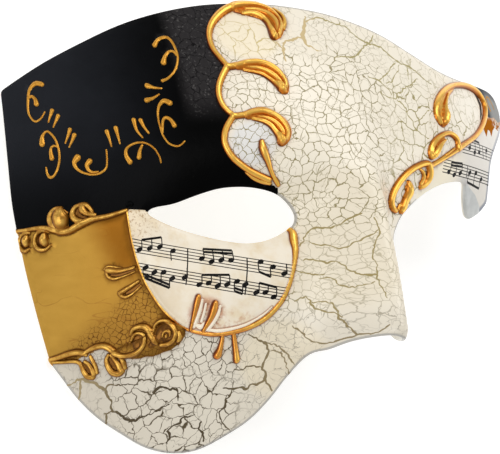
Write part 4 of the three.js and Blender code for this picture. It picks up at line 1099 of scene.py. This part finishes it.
# The finishes.
# The mask is painted by hand and varnished. Every finish is a set of nodes, written as sums on wires, and its
# patterns lie on the sheet in millimetres, so that they follow the skin.
BEND_SIZE, BEND = 12.0, 7.0
WAVER_SIZE, CELL_RANDOMNESS = 0.55, 0.95
PATCH_SIZE, PATCH_LOW, PATCH_HIGH = 1.3, 0.38, 0.72
CRACK_CORE, CRACK_FOOT = 0.4, 1.1
FADE_SHARE = 0.7


class Wire:
    """An output of a material's node. Sums on it add Math nodes, and node() adds any other node."""

    def __init__(self, socket):
        self.socket = socket

    def node(self, kind, settings=None, inputs=None, output=0):
        """Adds a node with its settings and the values or wires of its inputs. Gives one output's wire."""
        made = self.socket.id_data.nodes.new(kind)
        for name, value in (settings or {}).items():
            setattr(made, name, value)
        for name, value in (inputs or {}).items():
            if isinstance(value, Wire):
                self.socket.id_data.links.new(value.socket, made.inputs[name])
            else:
                made.inputs[name].default_value = value
        return Wire(made.outputs[output])

    def math(self, operation, *values):
        return self.node("ShaderNodeMath", {"operation": operation}, dict(enumerate(values)))

    def __add__(self, other):
        return self.math("ADD", self, other)

    def __radd__(self, other):
        return self.math("ADD", other, self)

    def __sub__(self, other):
        return self.math("SUBTRACT", self, other)

    def __rsub__(self, other):
        return self.math("SUBTRACT", other, self)

    def __mul__(self, other):
        return self.math("MULTIPLY", self, other)

    def __rmul__(self, other):
        return self.math("MULTIPLY", other, self)

    def __pow__(self, other):
        return self.math("POWER", self, other)


def rgb(red, green, blue):
    """A colour as it is seen on a screen, as the light values that a shader takes."""
    return tuple(((c / 255 + 0.055) / 1.055) ** 2.4 for c in (red, green, blue)) + (1,)


def paint(name, **settings):
    """A new finish with its constants on the shader, and the wires that its pattern starts from."""
    material = bpy.data.materials.new(name)
    material.use_nodes = True
    shell.materials.append(material)
    shader = material.node_tree.nodes["Principled BSDF"]
    for socket, value in settings.items():
        shader.inputs[socket.replace("_", " ").title().replace("Ior", "IOR")].default_value = value
    source = material.node_tree.nodes.new("ShaderNodeAttribute")
    source.attribute_name = "sheet"
    return shader, Wire(source.outputs["Vector"])


def coordinates(sheet):
    """The s and the y of a place on the sheet, and minus its distance from the rim."""
    return [sheet.node("ShaderNodeSeparateXYZ", {}, {0: sheet}, axis) for axis in range(3)]


def attribute(wire, name):
    return wire.node("ShaderNodeAttribute", {"attribute_name": name}, output="Fac")


def feed(shader, wire, socket):
    shader.id_data.links.new(wire.socket, shader.inputs[socket])


def blend(share, first, second):
    """The first colour or wire where the share is 0, and the second where it is 1."""
    return share.node("ShaderNodeMix", {"data_type": "RGBA"}, {0: share, 6: first, 7: second}, 2)


def noise(place, size, detail=2.0, roughness=0.5, output=0):
    """Soft spots of a size in millimetres, as a value or as a colour."""
    inputs = {"Vector": place, "Scale": 1 / size, "Detail": detail, "Roughness": roughness}
    return place.node("ShaderNodeTexNoise", {}, inputs, output)


def ramp(value, low, high, start=0.0, end=1.0):
    """A smooth step from start to end as the value goes from low to high."""
    inputs = {"Value": value, 1: low, 2: high, 3: start, 4: end}
    return value.node("ShaderNodeMapRange", {"interpolation_type": "SMOOTHSTEP"}, inputs)


def shifted(place, by, amount):
    inputs = {0: by, 1: (amount,) * 3, 2: place}
    return place.node("ShaderNodeVectorMath", {"operation": "MULTIPLY_ADD"}, inputs)


def cells(sheet, size, width, waver, thin=0.7, thick=1.6):
    """Wavering cracks round cells of paint: 1 on a crack. Its width varies from a thin to a thick share."""
    place = shifted(sheet, noise(sheet, BEND_SIZE, 2, 0.5, "Color"), BEND)
    place = shifted(place, noise(sheet, size * WAVER_SIZE, 1.5, 0.5, "Color"), waver * size)
    inputs = {"Vector": place, "Scale": 1 / size, "Randomness": CELL_RANDOMNESS}
    edges_of = {"voronoi_dimensions": "2D", "feature": "DISTANCE_TO_EDGE"}
    gap = place.node("ShaderNodeTexVoronoi", edges_of, inputs, "Distance") * size
    patches = noise(sheet, size * PATCH_SIZE, 3)
    reach = ramp(patches, PATCH_LOW, PATCH_HIGH, width * thin, width * thick)
    return ramp(gap.math("DIVIDE", gap, reach), CRACK_CORE, CRACK_FOOT, 1.0, 0.0)


def close_to(sheet, s, y, reach):
    """1 at a place of the sheet, fading to 0 at a reach from it."""
    inputs = {0: sheet, 1: (s, y, 0)}
    gap = sheet.node("ShaderNodeVectorMath", {"operation": "DISTANCE"}, inputs, "Value")
    return ramp(gap, reach, reach * FADE_SHARE)


def either(first, second):
    return first.math("MAXIMUM", first, second)


def bump(height, depth, strength):
    inputs = {"Height": height, "Distance": depth, "Strength": strength}
    return height.node("ShaderNodeBump", {}, inputs)


# Cream, with its crackle.
# The face is painted cream over a brown size, which shows in the fine cracks that opened as the cream dried.
# The cells are small beside the black and larger towards the far side. The lower cheek and the side of the
# nose are painted darker as shade, with painted shade in grey along the rim and a painted shadow in brown at
# the feet of the scrolls.
FACE_CREAM, FACE_LIGHT = rgb(242, 233, 213), rgb(248, 240, 224)
CHEEK_SHADE_CREAM, CHEEK_SHADE = rgb(226, 218, 201), rgb(206, 197, 180)
NOSE_SHADE_CREAM, JAW_CREAM = rgb(228, 216, 190), rgb(238, 224, 192)
WARM_CREAM, COOL_CREAM = rgb(250, 236, 204), rgb(228, 230, 232)
NEAR_CRACK, FAR_CRACK = rgb(150, 138, 96), rgb(160, 148, 96)
CHEEK_CRACK, WARM_CRACK = rgb(80, 66, 36), rgb(224, 204, 142)
CONTACT_SHADOW_BROWN, EDGE_SHADE_GREY = rgb(124, 84, 42), rgb(160, 158, 154)
shader, sheet = paint("crackled_cream", roughness=0.34, coat_weight=0.25, coat_roughness=0.12)
s_at, y_at, rim_at = coordinates(sheet)
cheek = ramp(y_at, -24.0, -38.0)
far_side = ramp(s_at - y_at * 0.15, 0.0, 12.0)
warm = close_to(sheet, -31.0, 59.0, 12.0)
wide = either(ramp(s_at + y_at * 0.5, -101.0, -107.0), ramp(s_at, -41.0, -35.0) * cheek)
wide = either(wide, either(ramp(y_at + s_at * 0.35, 50.0, 54.0) * 0.6, close_to(sheet, -14.0, 58.0, 10.0)))
wide = either(wide, ramp(y_at, -2.0, -7.0) * ramp(s_at, -26.0, -21.0) * 0.6)
large = either(far_side, warm)
near_line = cells(sheet, 2.9, 0.15, 0.5, 0.75, 1.35)
far_line = cells(sheet, 4.8, 0.2, 0.55)
low_line = cells(sheet, 4.0, 0.19, 0.66, 0.55, 1.9)
hair = cells(sheet, 2.4, 0.1, 0.7) * ramp(noise(sheet, 5.0, 2), 0.46, 0.56)
low = ramp(y_at + s_at * 0.2, -56.0, -60.0)
line = near_line * (1 - large) + far_line * large
line = (line * (1 - low) + low_line * low) * (1 - wide * 0.85)
line = either(line, hair * 0.55)
tone = noise(sheet, 16.0, 3)
ground = blend(tone, FACE_CREAM, FACE_LIGHT)
# The lower cheek and the side of the nose are painted darker, as shade.
ground = blend(cheek, ground, CHEEK_SHADE_CREAM)
ground = blend(ramp(s_at, -46.0, -90.0) * cheek * 0.8, ground, CHEEK_SHADE)
ground = blend(close_to(sheet, -13.0, -8.0, 26.0) * 0.5, ground, NOSE_SHADE_CREAM)
ground = blend(close_to(sheet, -27.0, -44.0, 14.0) * 0.5, ground, JAW_CREAM)
ground = blend(warm * 0.6, ground, WARM_CREAM)
ground = blend(close_to(sheet, -36.0, 22.0, 9.0) * 0.7, ground, COOL_CREAM)
crack_colour = blend(cheek, blend(far_side, NEAR_CRACK, FAR_CRACK), CHEEK_CRACK)
crack_colour = blend(warm * 0.8, crack_colour, WARM_CRACK)
crease_shade = attribute(sheet, "crease_shade")
painted = blend(line, ground, crack_colour)
# Painted shadow in brown beside the feet of the scrolls.
painted = blend(crease_shade ** 3 * 0.75, painted, CONTACT_SHADOW_BROWN)
# Painted shade in grey along the rounded rim.
feed(shader, blend(ramp(rim_at, -0.5, 0.1) * 0.8, painted, EDGE_SHADE_GREY), "Base Color")
feed(shader, (1 - line) * 0.25, "Coat Weight")
feed(shader, bump(1 - line, 0.0003, 0.4), "Normal")

# Black lacquer.
# One temple is lacquered black over the same moulding. The softer black towards its outer side is a painted
# sheen, and beside the upper scrolls it is worn and scaly, with a grey painted sheen over the wear.
DEEP_BLACK, SHINE_BLACK = rgb(0, 0, 0), rgb(37, 39, 44)
WORN_SHEEN_BLACK, SCRATCH_GREY = rgb(48, 46, 47), rgb(112, 110, 108)
SCALE_BLACK = rgb(6, 6, 7)
shader, sheet = paint("black_lacquer", roughness=0.36, specular_ior_level=0.03)
s_at, y_at, _ = coordinates(sheet)
tone = noise(sheet, 14.0, 4) * 0.5 + ramp(s_at, -56.0, -112.0) * 0.6
tone = tone * ramp(y_at, 2.0, 36.0, 0.15, 1.0) * ramp(s_at, -50.0, -80.0, 0.05, 1.0)
worn = ramp(s_at, -58.0, -52.0) * ramp(y_at, 28.0, 40.0)
scales = cells(sheet, 2.8, 0.14, 0.6)
scratches = ramp(noise(sheet, 0.9, 4, 0.7), 0.56, 0.7)
# Painted sheen, paler towards the outer side and the top, nearly black towards the eye.
ground = blend(tone, DEEP_BLACK, SHINE_BLACK)
# Beside the scrolls the black is worn, with a grey painted sheen over the wear.
ground = blend(worn * 0.9, ground, WORN_SHEEN_BLACK)
ground = blend(scratches * worn * 0.6, ground, SCRATCH_GREY)
feed(shader, blend(scales * worn * 0.8, ground, SCALE_BLACK), "Base Color")
feed(shader, bump(noise(sheet, 2.5, 5, 0.65) - scales * worn, 0.0003, 0.4), "Normal")

# Gold of the scrolls.
# They are gilded over a red brown ground. Painted shade makes them orange down their sides, brown in the
# creases and darker on one side, so that they read bright on top.
RICH_GOLD, LIGHT_GOLD = rgb(240, 176, 60), rgb(253, 212, 110)
SIDE_SHADE_GOLD, RED_GOLD = rgb(210, 128, 34), rgb(206, 108, 28)
CREASE_SHADE_RED = rgb(110, 46, 0)
shader, sheet = paint("scroll_gold", metallic=0.8, roughness=0.3, coat_weight=0.1, coat_roughness=0.1)
crease_shade = attribute(sheet, "crease_shade")
tone = noise(sheet, 2.6, 4, 0.6)
bright = blend(tone, RICH_GOLD, LIGHT_GOLD)
# Painted shade: orange down the sides, red brown in the creases and on one side.
gilt = blend(ramp(crease_shade, 0.1, 0.6), bright, SIDE_SHADE_GOLD)
gilt = blend(close_to(sheet, -50.0, -35.0, 15.0) * 0.5, gilt, RED_GOLD)
feed(shader, blend(ramp(crease_shade, 0.55, 1.0), gilt, CREASE_SHADE_RED), "Base Color")
feed(shader, bump(noise(sheet, 1.6, 3), 0.0002, 0.3), "Normal")

# Gold of the flourishes.
# They are drawn on the black with a thick gold paint, duller and more even than the gilding.
LINER_LIGHT, LINER_DARK = rgb(226, 166, 58), rgb(186, 124, 28)
shader, sheet = paint("gold_liner", metallic=0.6, roughness=0.34)
feed(shader, blend(noise(sheet, 2.5, 3), LINER_LIGHT, LINER_DARK), "Base Color")

# Antique gold of the panel.
# Bronze paint is brushed across it in streaks, finely cracked where it is worn, and brown towards its upper
# inner corner.
BRONZE_DARK, BRONZE_LIGHT = rgb(177, 134, 52), rgb(198, 154, 68)
SIDE_BRONZE, VEIN_BROWN = rgb(168, 124, 46), rgb(142, 92, 34)
CORNER_BROWN, WORN_BROWN = rgb(134, 80, 0), rgb(136, 94, 32)
CRACK_BROWN, CREASE_SHADE_BRONZE = rgb(80, 42, 8), rgb(104, 62, 8)
shader, sheet = paint("antique_gold", metallic=0.7, roughness=0.44, specular_ior_level=0.2)
crease_shade = attribute(sheet, "crease_shade")
stretched = sheet.node("ShaderNodeMapping", {}, {"Vector": sheet, "Scale": (0.35, 1.0, 1.0)})
tone = noise(stretched, 3.0, 4)
s_at, y_at, _ = coordinates(sheet)
corner = ramp(s_at + y_at * 0.5 + noise(sheet, 6.0, 3) * 4.0, -93.0, -81.0) * ramp(y_at, -24.0, -12.0)
worn = ramp(s_at * 0.8 - y_at + noise(sheet, 5.0, 4) * 8.0, -42.0, -26.0)
ground = blend(tone, BRONZE_DARK, BRONZE_LIGHT)
ground = blend(ramp(s_at, -100.0, -84.0) * 0.6, ground, SIDE_BRONZE)
veins = cells(stretched, 8.0, 0.1, 0.9) * ramp(noise(sheet, 9.0, 2), 0.45, 0.6)
ground = blend(veins * 0.45, ground, VEIN_BROWN)
ground = blend(corner * 0.85, ground, CORNER_BROWN)
ground = blend(worn * 0.6, ground, WORN_BROWN)
fine = cells(sheet, 1.6, 0.12, 0.5) * ramp(worn, 0.3, 0.9)
ground = blend(fine * 0.85, ground, CRACK_BROWN)
# Painted shade in the creases round the scrolls and at the edges of the mass.
feed(shader, blend(crease_shade * crease_shade * 0.85, ground, CREASE_SHADE_BRONZE), "Base Color")
feed(shader, bump(noise(sheet, 2.2, 4), 0.0002, 0.25), "Normal")

# Paper white of the plate and the far temple.
# It is painted like an old page, yellowed and speckled at one end, and stained with rust under the drips. On
# the far temple it is greyer, with painted shade in blue grey along its edge. Round the feet of the strokes
# on it lies painted shade in a rust brown.
PAPER_LIGHT, PAPER_TAN = rgb(242, 232, 213), rgb(230, 211, 176)
PAPER_SHADE, PAPER_YELLOW = rgb(216, 198, 168), rgb(232, 206, 160)
SPECKLE_BROWN, RUST = rgb(158, 112, 48), rgb(190, 122, 74)
FAR_LIGHT, FAR_DARK = rgb(230, 224, 214), rgb(218, 212, 202)
FAR_WARM, CREASE_SHADE_RUST = rgb(248, 238, 212), rgb(128, 68, 28)
EDGE_SHADE_BLUE = rgb(126, 132, 144)
shader, sheet = paint("paper_white", roughness=0.34, coat_weight=0.3)
s_at, y_at, rim_at = coordinates(sheet)
tone = noise(sheet, 7.0, 5, 0.6)
crease_shade = attribute(sheet, "crease_shade")
plain = blend(ramp(tone, 0.42, 0.75), PAPER_LIGHT, PAPER_TAN)
left = ramp(s_at, -58.0, -74.0) * ramp(y_at, -14.0, 2.0)
speckles = ramp(noise(sheet, 0.9, 3, 0.7), 0.54, 0.62) * left
plain = blend(ramp(s_at, -52.0, -66.0) * ramp(y_at, -13.0, -22.0) * 0.7, plain, PAPER_SHADE)
ground = blend(left * 0.5, plain, PAPER_YELLOW)
ground = blend(speckles * 0.7, ground, SPECKLE_BROWN)
stain = close_to(sheet, -50.6, -30.5, 7.5) * ramp(noise(sheet, 2.2, 4, 0.65), 0.4, 0.56)
stain = either(stain, ramp(y_at, -26.0, -32.0) * ramp(noise(sheet, 3.0, 4, 0.65), 0.5, 0.66) * 0.6)
ground = blend(stain * ramp(s_at, -30.0, -40.0) * 0.8, ground, RUST)
far_white = blend(tone, FAR_LIGHT, FAR_DARK)
far_white = blend(ramp(s_at, 34.0, 50.0), FAR_WARM, far_white)
ground = blend(ramp(s_at, 10.0, 20.0), ground, far_white)
# Painted shade in a rust brown round the feet of strokes.
ground = blend(crease_shade ** 2 * 0.85, ground, CREASE_SHADE_RUST)
# Painted shade in blue grey along the edge of the far temple.
edge_shade = ramp(rim_at, -1.6, -0.4) * ramp(s_at, 40.0, 60.0)
feed(shader, blend(edge_shade, ground, EDGE_SHADE_BLUE), "Base Color")

# Ink of the music.
# The staves and notes are printed in black ink, a little thin in places.
INK_BLACK, INK_GREY = rgb(4, 4, 5), rgb(34, 32, 30)
shader, sheet = paint("music_ink", roughness=0.4, specular_ior_level=0.1)
feed(shader, blend(ramp(noise(sheet, 0.8, 3), 0.4, 0.7), INK_BLACK, INK_GREY), "Base Color")

# Slate black of the far temple.
# The black above the far scroll is slate. Its paler grey towards the end of the temple is a painted
# sheen.
SLATE, SLATE_SHEEN = rgb(58, 62, 72), rgb(160, 160, 158)
shader, sheet = paint("far_black", roughness=0.6, specular_ior_level=0)
s_at, y_at, _ = coordinates(sheet)
tone = ramp(s_at + noise(sheet, 5.0, 4) * 8.0, 76.0, 88.0) * ramp(y_at, 49.0, 46.0, 0.4, 1.0)
# Painted sheen: paler slate towards the end of the temple.
feed(shader, blend(tone, SLATE, SLATE_SHEEN), "Base Color")

# Worn gold of the far temple.
# A ragged band of gilding between the slate black and the white, rubbed through in flakes.
LEAF_BROWN, LEAF_PALE = rgb(172, 100, 24), rgb(206, 172, 146)
LEAF_GAP = rgb(222, 212, 200)
shader, sheet = paint("far_gold", roughness=0.6, specular_ior_level=0)
s_at, y_at, _ = coordinates(sheet)
tone = ramp(noise(sheet, 3.0, 4, 0.6) * 5.0 + y_at, 39.6, 41.2)
gap = ramp(noise(sheet, 1.6, 2), 0.5, 0.56) * ramp(s_at, 76.0, 80.0)
leaf = blend(tone, LEAF_BROWN, LEAF_PALE)
feed(shader, blend(gap, leaf, LEAF_GAP), "Base Color")

# Plain grey of the tab.
# Part of the short tab under the far temple is an even light grey, darker than the white beside it.
TAB_LIGHT, TAB_DARK = rgb(206, 208, 206), rgb(192, 194, 192)
shader, sheet = paint("plain_grey", roughness=0.4)
tone = ramp(noise(sheet, 4.0, 3), 0.35, 0.65)
feed(shader, blend(tone, TAB_LIGHT, TAB_DARK), "Base Color")

# The bare inside.
# It is the unpainted moulding, pale and matt, with the faint unevenness of the mould.
BARE_LIGHT, BARE_DARK = rgb(230, 226, 216), rgb(216, 211, 199)
shader, sheet = paint("bare_inside", roughness=0.6)
tone = noise(sheet, 9.0, 4)
feed(shader, blend(ramp(tone, 0.35, 0.65), BARE_LIGHT, BARE_DARK), "Base Color")
feed(shader, bump(noise(sheet, 1.5, 4, 0.6), 0.0002, 0.5), "Normal")

# Brown of the broad cracks.
# The size under the cream shows in them, darkest towards the middle of the cheek and pale on the forehead.
EDGE_OPEN, CHEEK_OPEN = rgb(160, 142, 102), rgb(70, 56, 26)
NOSE_OPEN, BROW_OPEN = rgb(158, 142, 92), rgb(206, 184, 136)
FAR_OPEN = rgb(168, 156, 106)
shader, sheet = paint("open_crack", roughness=0.6)
s_at, y_at, _ = coordinates(sheet)
tone = ramp(s_at, -88.0, -72.0) * ramp(s_at, -26.0, -46.0, 0.3, 1.0)
colour = blend(tone, EDGE_OPEN, CHEEK_OPEN)
colour = blend(ramp(y_at, -38.0, -28.0), colour, NOSE_OPEN)
high = blend(ramp(s_at, -12.0, -2.0), BROW_OPEN, FAR_OPEN)
feed(shader, blend(ramp(y_at, 0.0, 20.0), colour, high), "Base Color")

# White of the ridges.
# Ridges of thick white paint stand round the drips on the plate, with rust and painted shade towards their
# feet and their left side.
RIDGE_WHITE, RIDGE_RUST_AND_SHADE = rgb(248, 237, 215), rgb(184, 110, 60)
shader, sheet = paint("white_ridge", roughness=0.3, coat_weight=0.3)
crease_shade = attribute(sheet, "crease_shade")
# Rust and painted shade towards the feet and the left side of the ridges.
feed(shader, blend(ramp(crease_shade, 0.6, 1.0) * 0.8, RIDGE_WHITE, RIDGE_RUST_AND_SHADE), "Base Color")

# Gold of the panel's scrolls.
# They are gilded like the others and then toned darker with the bronze of the panel. Painted shade makes
# them darker down their sides and in their creases.
TONED_DARK, TONED_LIGHT = rgb(172, 122, 44), rgb(232, 182, 84)
TONED_SIDE_SHADE, TONED_CREASE_SHADE = rgb(160, 106, 30), rgb(92, 54, 4)
shader, sheet = paint("panel_gold", metallic=0.7, roughness=0.32)
crease_shade = attribute(sheet, "crease_shade")
bright = blend(ramp(noise(sheet, 2.6, 4, 0.6), 0.35, 0.65), TONED_DARK, TONED_LIGHT)
# Painted shade down the sides and in the creases.
gilt = blend(ramp(crease_shade, 0.05, 0.55), bright, TONED_SIDE_SHADE)
feed(shader, blend(ramp(crease_shade, 0.5, 1.0), gilt, TONED_CREASE_SHADE), "Base Color")
feed(shader, bump(noise(sheet, 1.6, 3), 0.0002, 0.3), "Normal")

# The place of the piece in the row.
# The painted mask is the whole shell, so it rides on the root and takes the place of the solid.
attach(mask, "root")
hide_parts("mask_shell")
